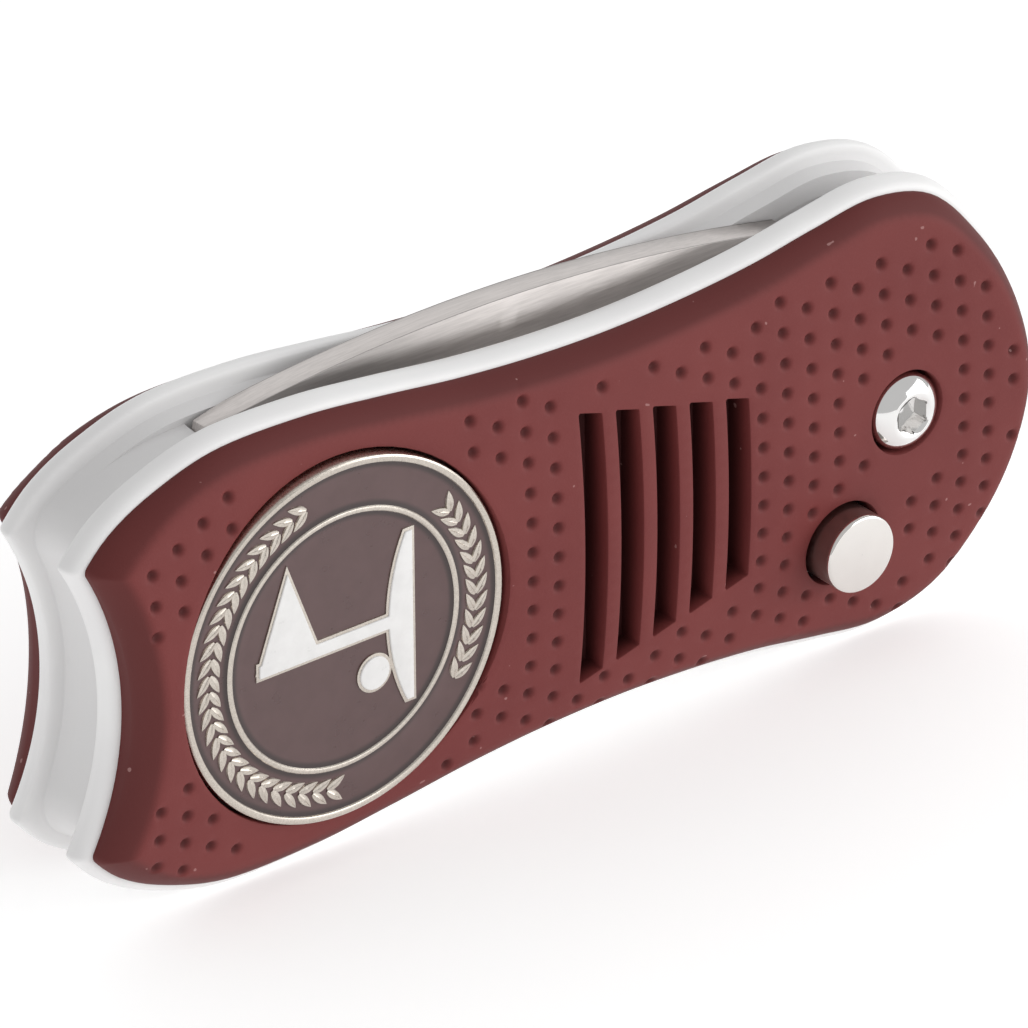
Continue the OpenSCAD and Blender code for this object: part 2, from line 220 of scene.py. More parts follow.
def refined(node):
    """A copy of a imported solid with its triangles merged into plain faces."""
    thing = bpy.data.objects.new("fine_" + node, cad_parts[node].data.copy())
    bpy.context.scene.collection.objects.link(thing)
    thing.data.materials.clear()
    shape = bmesh.new()
    shape.from_mesh(thing.data)
    bmesh.ops.remove_doubles(shape, verts=shape.verts, dist=0.0005 * MM)
    bmesh.ops.dissolve_limit(
        shape, angle_limit=math.radians(0.5), verts=shape.verts, edges=shape.edges
    )
    shape.to_mesh(thing.data)
    shape.free()
    return thing


def edges_broken(thing, width, segments=2, angle=40):
    """Rounds every edge sharper than an angle in degrees; width is in millimetres."""
    rounding = thing.modifiers.new("edge", "BEVEL")
    rounding.width = width * MM
    rounding.segments = segments
    rounding.limit_method = "ANGLE"
    rounding.angle_limit = math.radians(angle)
    return baked(thing)


def combined(thing, others, operation):
    """Takes closed solids out of a piece, or adds them to it, and then removes them."""
    for other in others:
        step = thing.modifiers.new("combine", "BOOLEAN")
        step.operation = operation
        step.solver = "EXACT"
        step.object = other
    baked(thing)
    for other in others:
        bpy.data.objects.remove(other)
    return thing


def cut_by(thing, cutters):
    return combined(thing, cutters, "DIFFERENCE")


def finish_piece(thing, material, body, nodes=()):
    """Gives a piece its material, its body and the nodes it stands for."""
    thing.data.materials.clear()
    thing.data.materials.append(material)
    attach(thing, body)
    if nodes:
        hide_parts(*nodes)
    print(f"{thing.name}: {len(thing.data.polygons)} faces on {body}")


# %% [markdown]
# ## Writing node maths as plain expressions
# Materials here are sums and products of noise, and the geometry trees work out places in the
# same way. A small wrapper lets such maths be written the way it is thought of: each operator
# adds one Math node. Colours never pass through a Math node, because that would turn them grey;
# they go through Mix nodes instead. Every other node comes from one method, which takes its
# kind, its settings and what its sockets get.

# %% A socket wrapper
class Wire:
    """One output socket of a node tree, with arithmetic."""

    def __init__(self, tree, socket):
        self.tree, self.socket = tree, socket

    def maths(self, operation, *others):
        """A Math node whose first value is this socket."""
        return self.tree.node("ShaderNodeMath", {"operation": operation}, self, *others)

    def maths_after(self, operation, first):
        """A Math node whose second value is this socket."""
        return self.tree.node("ShaderNodeMath", {"operation": operation}, first, self)

    def __add__(self, other):
        return self.maths("ADD", other)

    def __radd__(self, other):
        return self.maths_after("ADD", other)

    def __sub__(self, other):
        return self.maths("SUBTRACT", other)

    def __rsub__(self, other):
        return self.maths_after("SUBTRACT", other)

    def __mul__(self, other):
        return self.maths("MULTIPLY", other)

    def __rmul__(self, other):
        return self.maths_after("MULTIPLY", other)

    def __truediv__(self, other):
        return self.maths("DIVIDE", other)

    def __rtruediv__(self, other):
        return self.maths_after("DIVIDE", other)

    def between(self, low, high):
        """0 below low, 1 above high, smooth in between."""
        return self.tree.node(
            "ShaderNodeMapRange", {"interpolation_type": "SMOOTHSTEP"}, self, low, high, 0.0, 1.0
        )


# %% A node tree whose nodes are added by short calls
class Tree:
    """The part that materials and geometry trees share."""

    def __init__(self, node_tree):
        self.nodes, self.links = node_tree.nodes, node_tree.links

    def put(self, value, socket):
        """Links a wire, or several wires, to a socket, or sets the socket's own value."""
        if isinstance(value, (Wire, list)):
            for wire in value if isinstance(value, list) else [value]:
                self.links.new(wire.socket, socket)
        else:
            socket.default_value = value

    def node(self, kind, settings=None, *values, output=0, **named):
        made = self.nodes.new(kind)
        for key, value in (settings or {}).items():
            setattr(made, key, value)
        for socket, value in zip(made.inputs, values):
            self.put(value, socket)
        for name, value in named.items():
            wanted = name.replace("_", " ")
            self.put(value, next(s for s in made.inputs if s.name == wanted and s.enabled))
        return Wire(self, made.outputs[output])


# %% A material, and a geometry tree
class Finish(Tree):
    """A material with a Principled shader."""

    def __init__(self, name, **shader):
        self.material = bpy.data.materials.new(name)
        self.material.use_nodes = True
        super().__init__(self.material.node_tree)
        self.shader = self.nodes["Principled BSDF"]
        for socket, value in shader.items():
            self.shader.inputs[socket.replace("_", " ")].default_value = value

    def where(self, scale=(1, 1, 1)):
        """Position on the piece, in millimetres, stretched by scale."""
        at = self.node("ShaderNodeTexCoord", output="Object")
        size = tuple(s / MM for s in scale)
        return self.node("ShaderNodeMapping", None, at, (0, 0, 0), (0, 0, 0), size)

    def place_on(self, axis):
        """The place on the piece along one of the frame's axes, in millimetres."""
        at = self.node("ShaderNodeTexCoord", output="Object")
        return self.node("ShaderNodeSeparateXYZ", None, at, output=axis) / MM

    def off_middle(self):
        """Distance from the tool's middle plane, in millimetres."""
        return (self.place_on("Y") - float(MID_Y)).maths("ABSOLUTE")

    def marked(self, name):
        """The value of a mesh attribute."""
        return self.node("ShaderNodeAttribute", {"attribute_name": name}, output="Fac")

    def noise(self, scale, detail=3.0, rough=0.55, stretch=(1, 1, 1)):
        """Fractal noise from 0 to 1, with scale in cycles per millimetre."""
        return self.node(
            "ShaderNodeTexNoise", None, Vector=self.where(stretch),
            Scale=scale, Detail=detail, Roughness=rough,
        )

    def blend(self, factor, first, second):
        """Mixes two colours by a factor."""
        made = self.nodes.new("ShaderNodeMix")
        made.data_type = "RGBA"
        self.put(factor, made.inputs[0])
        for index, colour in ((6, first), (7, second)):
            self.put(colour if isinstance(colour, Wire) else (*colour, 1.0), made.inputs[index])
        return Wire(self, made.outputs[2])

    def feed(self, socket, value):
        self.put(value, self.shader.inputs[socket])

    def bump(self, height, depth, strength=1.0):
        """Small relief: depth is its height in millimetres."""
        raised = self.node(
            "ShaderNodeBump", None, Strength=strength, Distance=depth * MM, Height=height
        )
        self.feed("Normal", raised)


class Recipe(Tree):
    """A Geometry Nodes tree with named inputs, which always ends in real geometry with a
    material. Its inputs are given as name=kind."""

    def __init__(self, name, **inputs):
        self.group = bpy.data.node_groups.new(name, "GeometryNodeTree")
        for socket, kind in {**inputs, "Material": "Material"}.items():
            self.group.interface.new_socket(
                socket.replace("_", " "), in_out="INPUT", socket_type="NodeSocket" + kind
            )
        self.group.interface.new_socket(
            "Mesh", in_out="OUTPUT", socket_type="NodeSocketGeometry"
        )
        super().__init__(self.group)
        self.inputs = self.nodes.new("NodeGroupInput")

    def given(self, name):
        return Wire(self, self.inputs.outputs[name])

    def ends_with(self, shape):
        real = self.node("GeometryNodeRealizeInstances", None, shape)
        painted = self.node("GeometryNodeSetMaterial", None, real, Material=self.given("Material"))
        self.put(painted, self.nodes.new("NodeGroupOutput").inputs["Mesh"])
        print(self.group.name, "has", len(self.nodes), "nodes")
        return self.group


# %% [markdown]
# ## Finishes
# - **Soft grip**: silicone moulded in a spark-eroded tool. It is matt, a little lighter where
#   it is handled, with a fine even grain and a few specks of lint that such rubber attracts.
#   Shade is painted into its colour in the dimples, at the bottom of slots and holes, and along the
#   rolled edge.
# - **Moulded white**: satin plastic with a faint orange-peel and tiny tone changes. Shade is
#   painted into it as a light grey in the groove between the rims.

# %% Soft grip and moulded white
def make_silicone():
    f = Finish("soft_grip", Roughness=0.62, Specular_IOR_Level=0.3)
    cloud = f.noise(0.09, 2.0)
    grain = f.noise(9.0, 2.0)
    fleck = f.noise(1.7, 0.0, 0.5).between(0.855, 0.875)
    tone = f.blend(cloud.between(0.3, 0.7), (0.156, 0.026, 0.025), (0.177, 0.032, 0.030))
    tone = f.blend(grain.between(0.35, 0.8) * 0.25, tone, (0.215, 0.056, 0.054))
    # painted shade: the dimples are painted darker towards the bottom of their pits
    tone = f.blend(f.marked("pit").between(0.05, 0.8) * 0.68, tone, (0.070, 0.012, 0.012))
    # painted shade along the rolled edge of the grip
    tone = f.blend(f.marked("rolled").between(0.0, 0.4) * 0.6, tone, (0.078, 0.012, 0.011))
    # painted shade: the bottoms of slots and holes are painted nearly black
    tone = f.blend(f.marked("deep").between(0.0, 0.9) * 0.85, tone, (0.030, 0.005, 0.005))
    f.feed("Base Color", f.blend(fleck * 0.35, tone, (0.60, 0.36, 0.34)))
    f.feed("Roughness", 0.56 + grain * 0.16)
    f.bump(grain, 0.012, 0.6)
    return f.material


def make_white():
    f = Finish("moulded_white", Roughness=0.38, Specular_IOR_Level=0.45)
    peel = f.noise(1.6, 3.0)
    cloud = f.noise(0.12, 2.0)
    # painted shade: the white is greyed near the middle plane, in the groove between the rims
    groove = 1 - f.off_middle().between(2.2, 2.42)
    tone = f.blend(cloud.between(0.3, 0.7), (0.84, 0.83, 0.83), (0.88, 0.875, 0.87))
    f.feed("Base Color", f.blend(groove * 0.85, tone, (0.74, 0.73, 0.73)))
    f.feed("Roughness", 0.33 + peel * 0.12)
    f.bump(peel, 0.006, 0.5)
    return f.material


SILICONE = make_silicone()
WHITE = make_white()
print("made", SILICONE.name, WHITE.name)

# %% [markdown]
# - **Brushed blade**: stamped stainless plate, belt-brushed along its length, so the noise is
#   stretched along one axis.
# - **Polished metal**: the screw head and the button, nearly mirrors with hairline scratches.

# %% Metals
def make_brushed(name, colour, along=(0.05, 1, 1), rough=0.3, scale=7.0):
    f = Finish(name, Metallic=1.0, Roughness=rough)
    line = f.noise(scale, 4.0, 0.65, along)
    cloud = f.noise(0.2, 2.0)
    dark = tuple(c * 0.72 for c in colour)
    f.feed("Base Color", f.blend(line.between(0.3, 0.7) * 0.6 + cloud * 0.3, dark, colour))
    f.feed("Roughness", rough - 0.08 + line * 0.2)
    f.bump(line, 0.008, 0.5)
    return f.material


def make_polished(name, colour, rough=0.08):
    f = Finish(name, Metallic=1.0, Roughness=rough)
    scratch = f.noise(4.0, 5.0, 0.7, (1, 1, 0.08))
    cloud = f.noise(0.5, 2.0)
    f.feed("Base Color", f.blend(cloud, tuple(c * 0.93 for c in colour), colour))
    f.feed("Roughness", rough + scratch.between(0.55, 0.8) * 0.12)
    f.bump(scratch, 0.001, 0.3)
    return f.material


def make_blade_steel(colour=(0.64, 0.60, 0.58)):
    """Brushed along its length, with a thin dark line of painted shade along the broken edge of
    each face.
    """
    f = Finish("brushed_blade", Metallic=1.0, Roughness=0.3)
    line = f.noise(7.0, 4.0, 0.65, (0.05, 1, 1))
    cloud = f.noise(0.2, 2.0)
    dark = tuple(c * 0.74 for c in colour)
    tone = f.blend(line.between(0.3, 0.7) * 0.6 + cloud * 0.3, dark, colour)
    side = f.off_middle()
    # painted shade: a thin dark line along the broken edge of each face
    arris = side.between(0.86, 0.90) * (1 - side.between(0.96, 0.99))
    f.feed("Base Color", f.blend(arris * 0.55, tone, (0.16, 0.15, 0.145)))
    f.feed("Roughness", 0.24 + line * 0.2)
    f.bump(line, 0.008, 0.5)
    return f.material


BLADE_STEEL = make_blade_steel()
CUP_STEEL = make_brushed("pressed_steel", (0.55, 0.55, 0.55), (1, 1, 1), 0.35, 3.0)
MAGNET = make_brushed("plated_magnet", (0.42, 0.42, 0.44), (1, 1, 1), 0.22, 2.0)
CHROME = make_polished("polished_steel", (0.86, 0.85, 0.84))


def make_button_nickel():
    """Polished on the face, and left dull on the turned side, which is painted darker as shade down
    in its hole.
    """
    f = Finish("polished_nickel", Metallic=1.0, Roughness=0.1)
    side = (f.place_on("Y") + (BUTTON_FACE - MID_Y)).between(0.24, 0.3)
    cloud = f.noise(0.5, 2.0)
    line = f.noise(5.0, 4.0, 0.65, (0.1, 1, 0.1))
    polished = f.blend(cloud, (0.74, 0.71, 0.68), (0.79, 0.76, 0.73))
    # painted shade: the turned side, down in the grip's hole, is painted darker
    f.feed("Base Color", f.blend(side, polished, (0.36, 0.33, 0.31)))
    f.feed("Roughness", 0.1 + side * (0.12 + line * 0.16))
    f.bump(line, 0.001, 0.3)
    return f.material


NICKEL = make_button_nickel()
ZINC = make_brushed("zinc_plate", (0.62, 0.63, 0.64), (1, 1, 1), 0.3, 5.0)
BRASS = make_brushed("turned_brass", (0.78, 0.58, 0.28), (1, 0.06, 1), 0.28, 6.0)
BRONZE = make_brushed("oiled_bronze", (0.60, 0.38, 0.22), (1, 0.06, 1), 0.35, 6.0)
WIRE_STEEL = make_brushed("drawn_wire", (0.36, 0.36, 0.38), (1, 1, 1), 0.25, 8.0)
COIN_METAL = make_brushed("struck_metal", (0.70, 0.64, 0.57), (1, 1, 1), 0.26, 6.0)
print("made", len(bpy.data.materials), "materials so far")

# %% [markdown]
# - **Enamel**: coloured paste that is dripped into the struck fields and baked. It is smooth
#   and glossy, dips a little in the middle of a field, and is faintly cloudy inside.

# %% Enamel
RIM_IN, RING_IN, RING_OUT = MARKER_R - 0.55, 8.66, 9.06


def make_enamel(name, light, dark, seam):
    """The paste is thicker and darker in a narrow seam along the marker's raised rings."""
    f = Finish(name, Roughness=0.28, Specular_IOR_Level=0.5, Coat_Weight=0.25, Coat_Roughness=0.12)
    cloud = f.noise(0.8, 3.0)
    x, z = f.place_on("X") - float(MARKER_X), f.place_on("Z") - float(MID_Z)
    reach = (x * x + z * z).maths("SQRT")
    away = [(reach - ring).maths("ABSOLUTE") for ring in (RIM_IN, RING_IN, RING_OUT)]
    nearest = away[0].maths("MINIMUM", away[1]).maths("MINIMUM", away[2])
    tone = f.blend(cloud.between(0.3, 0.7), dark, light)
    f.feed("Base Color", f.blend(1 - nearest.between(0.12, 0.5), tone, seam))
    f.feed("Roughness", 0.24 + cloud * 0.1)
    f.bump(f.noise(0.5, 1.0), 0.01, 0.4)
    return f.material


BROWN_ENAMEL = make_enamel(
    "brown_enamel", (0.096, 0.049, 0.048), (0.086, 0.043, 0.042), (0.030, 0.015, 0.014)
)
WHITE_ENAMEL = make_enamel("white_enamel", (0.80, 0.79, 0.78), (0.75, 0.74, 0.73), (0.6, 0.6, 0.6))
print("made", BROWN_ENAMEL.name, WHITE_ENAMEL.name)

# %% [markdown]
# ## The case outline
# The outline of the case is one smooth curve through a few places on its upper half, mirrored
# to the lower half, with a round saddle cut into the back end for a thumb. Plates, spacer and
# grips all use it, each pushed in or out by its own distance, so it is made as a function that
# always gives the same number of points. That lets any two of its loops be joined ring to ring.

# %% The case outline as a function
# Places on the upper half, from the middle of the round end to past the horn at the saddle
EDGE = np.array([
    (37.4, 0), (36.5, 5), (34.2, 9.8), (30.4, 14), (25.6, 15.4), (20.6, 14.8),
    (15.6, 13.95), (10, 13.4), (4, 13.15), (-2, 13.3), (-8, 13.8), (-14, 14.6),
    (-20, 15.25), (-26.7, 15.25), (-31.5, 13.95), (-34.9, 12.2), (-37.2, 9.9), (-39.5, 6.9),
])
SADDLE_X, SADDLE_R = -34.4, 21.0
SIDE_STEPS, HORN_STEPS, SADDLE_STEPS = 110, 7, 44
FINE_STEPS = 1500  # steps used only to measure the curve


def edge_curve(t):
    """Points and outward normals of the upper half at curve places t, counted in EDGE steps."""
    guard = np.vstack([EDGE[1] * (1, -1), EDGE, EDGE[-1]])
    i = np.clip(t.astype(int), 0, len(EDGE) - 2)
    a, b, c, d = (guard[i + k] for k in range(4))
    u = (t - i)[:, None]
    at = 0.5 * (2 * b + (c - a) * u + (2 * a - 5 * b + 4 * c - d) * u**2
                + (3 * b - a - 3 * c + d) * u**3)
    along = 0.5 * ((c - a) + 2 * (2 * a - 5 * b + 4 * c - d) * u
                   + 3 * (3 * b - a - 3 * c + d) * u**2)
    out = np.stack([along[:, 1], -along[:, 0]], 1)
    return at, out / np.linalg.norm(out, axis=1)[:, None]


def case_loop(by=0.0, horn=0.7):
    """The closed outline pushed outwards by a distance, as an array of (x, z) points.
    The horns beside the saddle are rounded over a length of horn."""
    fine = np.linspace(0, len(EDGE) - 1.001, FINE_STEPS)
    at, out = edge_curve(fine)
    side = at + by * out
    hub, radius = np.array([SADDLE_X - SADDLE_R, 0]), SADDLE_R - by
    last = np.argmax(np.hypot(*(side - hub).T) < radius)
    tip = side[last]
    run = np.concatenate([[0], np.cumsum(np.hypot(*np.diff(side[:last + 1], axis=0).T))])
    stops = np.interp(np.linspace(0, run[-1] - horn, SIDE_STEPS), run, fine[:last + 1])
    at, out = edge_curve(stops)
    upper = at + by * out
    swing = math.atan2(tip[1], tip[0] - hub[0]) - horn / radius
    bend = hub + radius * np.array([math.cos(swing), math.sin(swing)])
    u = np.linspace(0, 1, HORN_STEPS + 2)[1:-1, None]
    corner = (1 - u)**2 * upper[-1] + 2 * u * (1 - u) * tip + u**2 * bend
    angle = np.linspace(swing, 0, SADDLE_STEPS, endpoint=False)
    saddle = hub + radius * np.stack([np.cos(angle), np.sin(angle)], 1)
    half = np.vstack([upper, corner, saddle])
    middle = hub + np.array([[radius, 0]])
    return np.vstack([half, middle, half[:0:-1] * (1, -1)])


def ring_at(loop, y):
    return [place(x, y, z) for x, z in loop]


print("outline points:", len(case_loop()))

# %% [markdown]
# ## White side plates
# Each plate is a moulding whose rim stands out past the grip as a soft ridge. Its inner side
# runs down in a hollow to the blade channel and its outer side rolls over to the grip. The
# section is a short list of pushes and rises, and the outline loops at those values are joined
# ring to ring. A shallow lip on the inner side stands close to the blade and hides the gap.
# The holes are then cut with round cutters, as core pins in a mould would leave.

# %% The section of a side plate's rim
HOLLOW = 0.72  # depth of the groove at the middle plane
HOLLOW_CURVE = 0.09  # how fast the groove grows shallower away from it
HORN_SHARP, HORN_SOFT, HORN_HOLLOW = 0.3, 0.5, 2.2  # lengths over which the horns are rounded


def hollow_push(y):
    """How far out the groove's floor lies, at a distance from the middle plane."""
    return HOLLOW_CURVE * y * y - HOLLOW


LIP_DEEP, LIP_FACE = 2.2, 1.14  # depth of the inner lip, and its place from the middle plane
RIM_SECTION = [(-LIP_DEEP, 0.0), (-LIP_DEEP + 0.2, LIP_FACE - CHANNEL)] + [
    (hollow_push(CHANNEL + rise), rise) for rise in (LIP_FACE - CHANNEL, 0.0, 0.25, 0.5, 0.68)
] + [
    (-0.12, 0.77), (0.22, 0.83), (0.54, 0.90), (0.68, 0.97), (0.76, 1.08), (0.80, 1.24),
    (0.80, 1.45), (0.77, 1.68), (0.70, 1.92), (0.57, 2.18), (0.38, 2.40), (0.16, 2.52),
    (0.0, 2.55),
]
SCREW_SPOTS = [(-31.6, 8), (-31.6, -8), (-4, -10), (27.4, -12.4)]
print("the rim's section has", len(RIM_SECTION), "points")

# %% Side plates
def disc_cutter(centre, radius, start, end, steps=72):
    return turned("cutter", [(radius, start), (radius, end)], centre, steps)


def make_plate(name, side):
    """A side plate; side is -1 for the front and 1 for the rear."""
    rings = [
        ring_at(case_loop(push, HORN_SHARP if push > 0 else HORN_HOLLOW), side * (CHANNEL + rise))
        for push, rise in RIM_SECTION[:-1]
    ]
    rings.append(ring_at(case_loop(0, HORN_SHARP), side * PLATE_OUT))
    return rested(loft(name, rings, 30))


front_plate = make_plate("white_front_plate", -1)
cut_by(front_plate, [
    disc_cutter(PIVOT, 1.55, -PLATE_OUT - 1, 0),
    disc_cutter(BUTTON, BUTTON_R + 0.05, -PLATE_OUT - 1, 0),
    disc_cutter((MARKER_X, 0), CUP_R + 0.05, -PLATE_OUT - 1, -MARKER_BACK + CUP_DEEP),
] + [disc_cutter(spot, 1.45, -PLATE_OUT - 1, -PLATE_OUT + 0.8, 32) for spot in SCREW_SPOTS]
  + [disc_cutter(spot, 0.75, -PLATE_OUT - 1, 0, 32) for spot in SCREW_SPOTS])
smooth(front_plate, 30)
rear_plate = make_plate("white_rear_plate", 1)
pocket = washer("cutter", PIVOT, 2.75, 4.8, 0.5, CHANNEL + 1.65, 0.001)
cut_by(rear_plate, [
    disc_cutter(PIVOT, 2.25, 0, PLATE_OUT + 1),
    disc_cutter(PIVOT, 3.35, PLATE_OUT - 0.9, PLATE_OUT + 1),
    pocket,
    disc_cutter(BUTTON, 2.6, 0, CHANNEL + 1.6),
] + [disc_cutter(spot, 1.15, 0, PLATE_OUT - 0.6, 32) for spot in SCREW_SPOTS])
smooth(rear_plate, 30)
finish_piece(front_plate, WHITE, "case", ["front_plate"])
finish_piece(rear_plate, WHITE, "case", ["rear_plate"])

# %% [markdown]
# ## The back spacer
# The spacer closes the channel at the back and along the bottom. Its edge carries on the hollow
# of the two rims, so that a smooth groove runs round the case. The room for the blade is cut
# out of it with one prism, whose back end follows the sweep of the fork's tips closely. The
# groove's floor then runs down in a short ramp, to meet the tips of the folded fork.

# %% Back spacer with a hollow edge
# Outline of the room that the folded and the swinging fork need
CHANNEL_ROOM = [
    (-25.3, 30), (-25.3, 14.3), (-26.1, 12), (-27.2, 5.5), (-27.2, 2.6), (-26.4, 2.2),
    (4, -3.9), (12, -6.4), (16.6, -10.8),
    (29.4, -10.8), (33.4, -14.5), (36, -30), (70, -30), (70, 30),
]
EDGE_SECTION = [(-LIP_DEEP, -CHANNEL), (-LIP_DEEP + 0.2, -LIP_FACE)] + [
    (hollow_push(y), y) for y in np.linspace(-LIP_FACE, LIP_FACE, 11)
] + [(-LIP_DEEP + 0.2, LIP_FACE), (-LIP_DEEP, CHANNEL)]
spacer = loft("white_back_spacer", [
    ring_at(case_loop(push, HORN_HOLLOW), y) for push, y in EDGE_SECTION
], 30)
room = loft("cutter", [
    [place(x, y, z) for x, z in CHANNEL_ROOM] for y in (-CHANNEL - 1, CHANNEL + 1)
])
cut_by(spacer, [room] + [
    disc_cutter(spot, 0.75, -CHANNEL - 1, CHANNEL + 1, 32) for spot in SCREW_SPOTS
])
RAMP_START, RAMP_END, RAMP_DROP = -32.0, -25.3, 0.45
for vertex in spacer.data.vertices:
    share = min(max((vertex.co.x / MM - RAMP_START) / (RAMP_END - RAMP_START), 0), 1)
    if vertex.co.z / MM - MID_Z > 8:
        vertex.co.z -= RAMP_DROP * MM * share * share * (3 - 2 * share)
smooth(spacer, 30)
finish_piece(rested(spacer), WHITE, "case", ["back_spacer"])

# %% [markdown]
# ## The soft grips
# A grip is a domed cover with a rolled edge, five slots and a field of small dimples. A boolean
# of hundreds of cones would leave ragged shading on the dome, so the face is triangulated with
# rings of points round every feature instead, and each point is then set to its depth. The
# dimples are pressed in by Geometry Nodes, which push every point near a dimple's centre.

# %% Slots, holes and the keep-clear rules of the dimples
SLOTS, SLOT_X, SLOT_PITCH = 5, 0.75, 2.9  # how many, where the first one is, and their pitch
SLOT_W, SLOT_DEPTH, SLOT_CORNER = 1.75, 2.3, 0.12
SLOT_Z, SLOT_HALF, SLOT_STEP = -0.27, 9.45, 0.7  # each slot is shorter by a step at both ends
SLOT_SLANT = 0.3  # how far the ends lean, as rise over run
DIMPLE_PITCH_X, DIMPLE_PITCH_Z = 2.07, 2.08
DIMPLE_R, DIMPLE_DEPTH = 0.6, 0.44
DOME_R = 72.5  # the face is a shallow arch across the width
FRONT_ROLL, REAR_ROLL = (1.35, 1.9), (0.6, 1.2)  # width of the rolled edge: sides, saddle end
ROLL_DEEP, ROLL_POWER = 1.8, 1.5
LIP_ROLL = 0.13  # the small round on the mouth of every slot and hole


def slot_loop(index, grow=0.0, corner_steps=4):
    """One slot: a long box with slanted ends and small round corners, grown by a distance."""
    x = SLOT_X + index * SLOT_PITCH
    w, h = SLOT_W / 2 - SLOT_CORNER, SLOT_HALF - index * SLOT_STEP - SLOT_CORNER
    lean = SLOT_SLANT * w
    corners = [
        (x + w, SLOT_Z + h - lean), (x - w, SLOT_Z + h + lean),
        (x - w, SLOT_Z - h - lean), (x + w, SLOT_Z - h + lean),
    ]
    points = []
    for k, corner in enumerate(corners):
        for s in range(corner_steps + 1):
            a = math.radians(90 * (k + s / corner_steps))
            reach = SLOT_CORNER + grow
            points.append((corner[0] + reach * math.cos(a), corner[1] + reach * math.sin(a)))
    return np.array(points)


def circle_loop(centre, radius, steps=72):
    a = np.linspace(0, 2 * math.pi, steps, endpoint=False)
    return np.array(centre) + radius * np.stack([np.cos(a), np.sin(a)], 1)


def subdivided(loop, longest=0.35):
    """Adds points to a loop so that no side is longer than a given length."""
    out = []
    for a, b in zip(loop, np.roll(loop, -1, axis=0)):
        n = max(1, math.ceil(np.hypot(*(b - a)) / longest))
        out += [a + (b - a) * k / n for k in range(n)]
    return np.array(out)


def distance_to(points, loop):
    """Distance of every point from a closed loop."""
    best = np.full(len(points), 1e9)
    for a, b in zip(loop, np.roll(loop, -1, axis=0)):
        d = b - a
        t = np.clip(((points - a) @ d) / (d @ d), 0, 1)
        best = np.minimum(best, np.hypot(*(points - a - t[:, None] * d).T))
    return best


def inside(points, loop):
    """True for the points inside a closed loop."""
    hit = np.zeros(len(points), bool)
    for (x1, z1), (x2, z2) in zip(loop, np.roll(loop, -1, axis=0)):
        if z1 == z2:
            continue
        cross = ((z1 > points[:, 1]) != (z2 > points[:, 1]))
        hit ^= cross & (points[:, 0] < (x2 - x1) * (points[:, 1] - z1) / (z2 - z1) + x1)
    return hit


print("slots:", SLOTS, "with", len(slot_loop(0)), "points each")

# %% Where the dimples go
OUTLINE = case_loop(0, HORN_SOFT)
FIRST_DIMPLE = np.array([20.5, 1.24])
FRONT_ROWS = {
    -26: [(2, 4), (-6, -4)], -25: [(3, 5), (-6, -3)], -24: [(4, 5), (-6, -5)],
    -23: [(5, 6), (-6, -6)], -15: [(-6, -6)], -14: [(4, 5), (-6, -4)], -13: [(4, 5), (-5, -4)],
    -12: [(-6, 5)], -11: [(-6, 5)], -10: [(-6, -6)], -9: [(5, 5), (-6, -5)], -8: [(-6, -6)],
    -7: [(5, 5), (-6, -5)], -6: [(4, 4), (-6, -5)], -5: [(4, 5), (-6, -5)],
    -4: [(3, 4), (-6, -5)], -3: [(-5, 5)], -2: [(-6, 5)], -1: [(-2, 5), (-6, -5)],
    0: [(-2, 5), (-6, -6)], 1: [(2, 5), (-1, -1), (-6, -6)], 2: [(2, 5), (-7, -7)],
    3: [(3, 5), (-4, -3), (-7, -6)], 4: [(2, 5), (-6, -3)], 5: [(-6, 5)], 6: [(-5, 3)],
    7: [(0, 1), (-2, -2)],
}


def lattice_spot(column, row):
    """Columns are staggered by half a pitch."""
    stagger = -0.5 * (column % 2)
    return FIRST_DIMPLE + [column * DIMPLE_PITCH_X, (row + stagger) * DIMPLE_PITCH_Z]


def listed_spots(rows):
    """The dimples of a face on which each column has its own runs of rows."""
    return np.array([
        lattice_spot(column, row)
        for column, runs in rows.items() for low, high in runs for row in range(low, high + 1)
    ])


def clear_spots(round_holes):
    """All lattice places that keep clear of the edge, the slots and the holes."""
    spots = np.array([lattice_spot(u, v) for u in range(-27, 9) for v in range(-8, 9)])
    keep = inside(spots, OUTLINE)
    edge_room = distance_to(spots, OUTLINE)
    keep &= edge_room > np.where(spots[:, 1] > 0, 2.4, 1.6)
    for index in range(SLOTS):
        loop = slot_loop(index)
        keep &= (distance_to(spots, loop) > 1.0) & ~inside(spots, loop)
    for centre, radius, clear in round_holes:
        keep &= np.hypot(*(spots - centre).T) > radius + clear
    return spots[keep]


print("dimples on the front:", len(listed_spots(FRONT_ROWS)))

# %% How deep the face of a grip lies
SADDLE_END, SADDLE_BLEND = -30.5, 4  # where the rolled edge starts to widen, and over how far


def edge_share(points, widths):
    """0 on the open face and 1 at the outline; the rolled edge is wider beside the saddle."""
    back_end = np.clip((SADDLE_END - points[:, 0]) / SADDLE_BLEND, 0, 1)
    width = widths[0] + (widths[1] - widths[0]) * back_end * back_end * (3 - 2 * back_end)
    return np.clip(1 - distance_to(points, OUTLINE) / width, 0, 1)


def grip_depth(points, holes, widths):
    """How far below the crown the bare face lies at each point."""
    dome = DOME_R - np.sqrt(DOME_R**2 - points[:, 1]**2)
    edge = edge_share(points, widths)
    deep = np.clip(HALF_T - PLATE_OUT - 0.12 - dome, 0.2, ROLL_DEEP)
    roll = deep * (1 - (1 - edge**ROLL_POWER)**(1 / ROLL_POWER))
    lip = np.zeros(len(points))
    for loop in holes:
        near = np.clip(1 - distance_to(points, loop) / LIP_ROLL, 0, 1)
        lip = np.maximum(lip, LIP_ROLL * (1 - np.sqrt(1 - near**2)))
    return dome + roll + lip


middle = grip_depth(np.array([[0.0, 0.0]]), [], FRONT_ROLL)
print("depth at the middle of the crown:", middle)

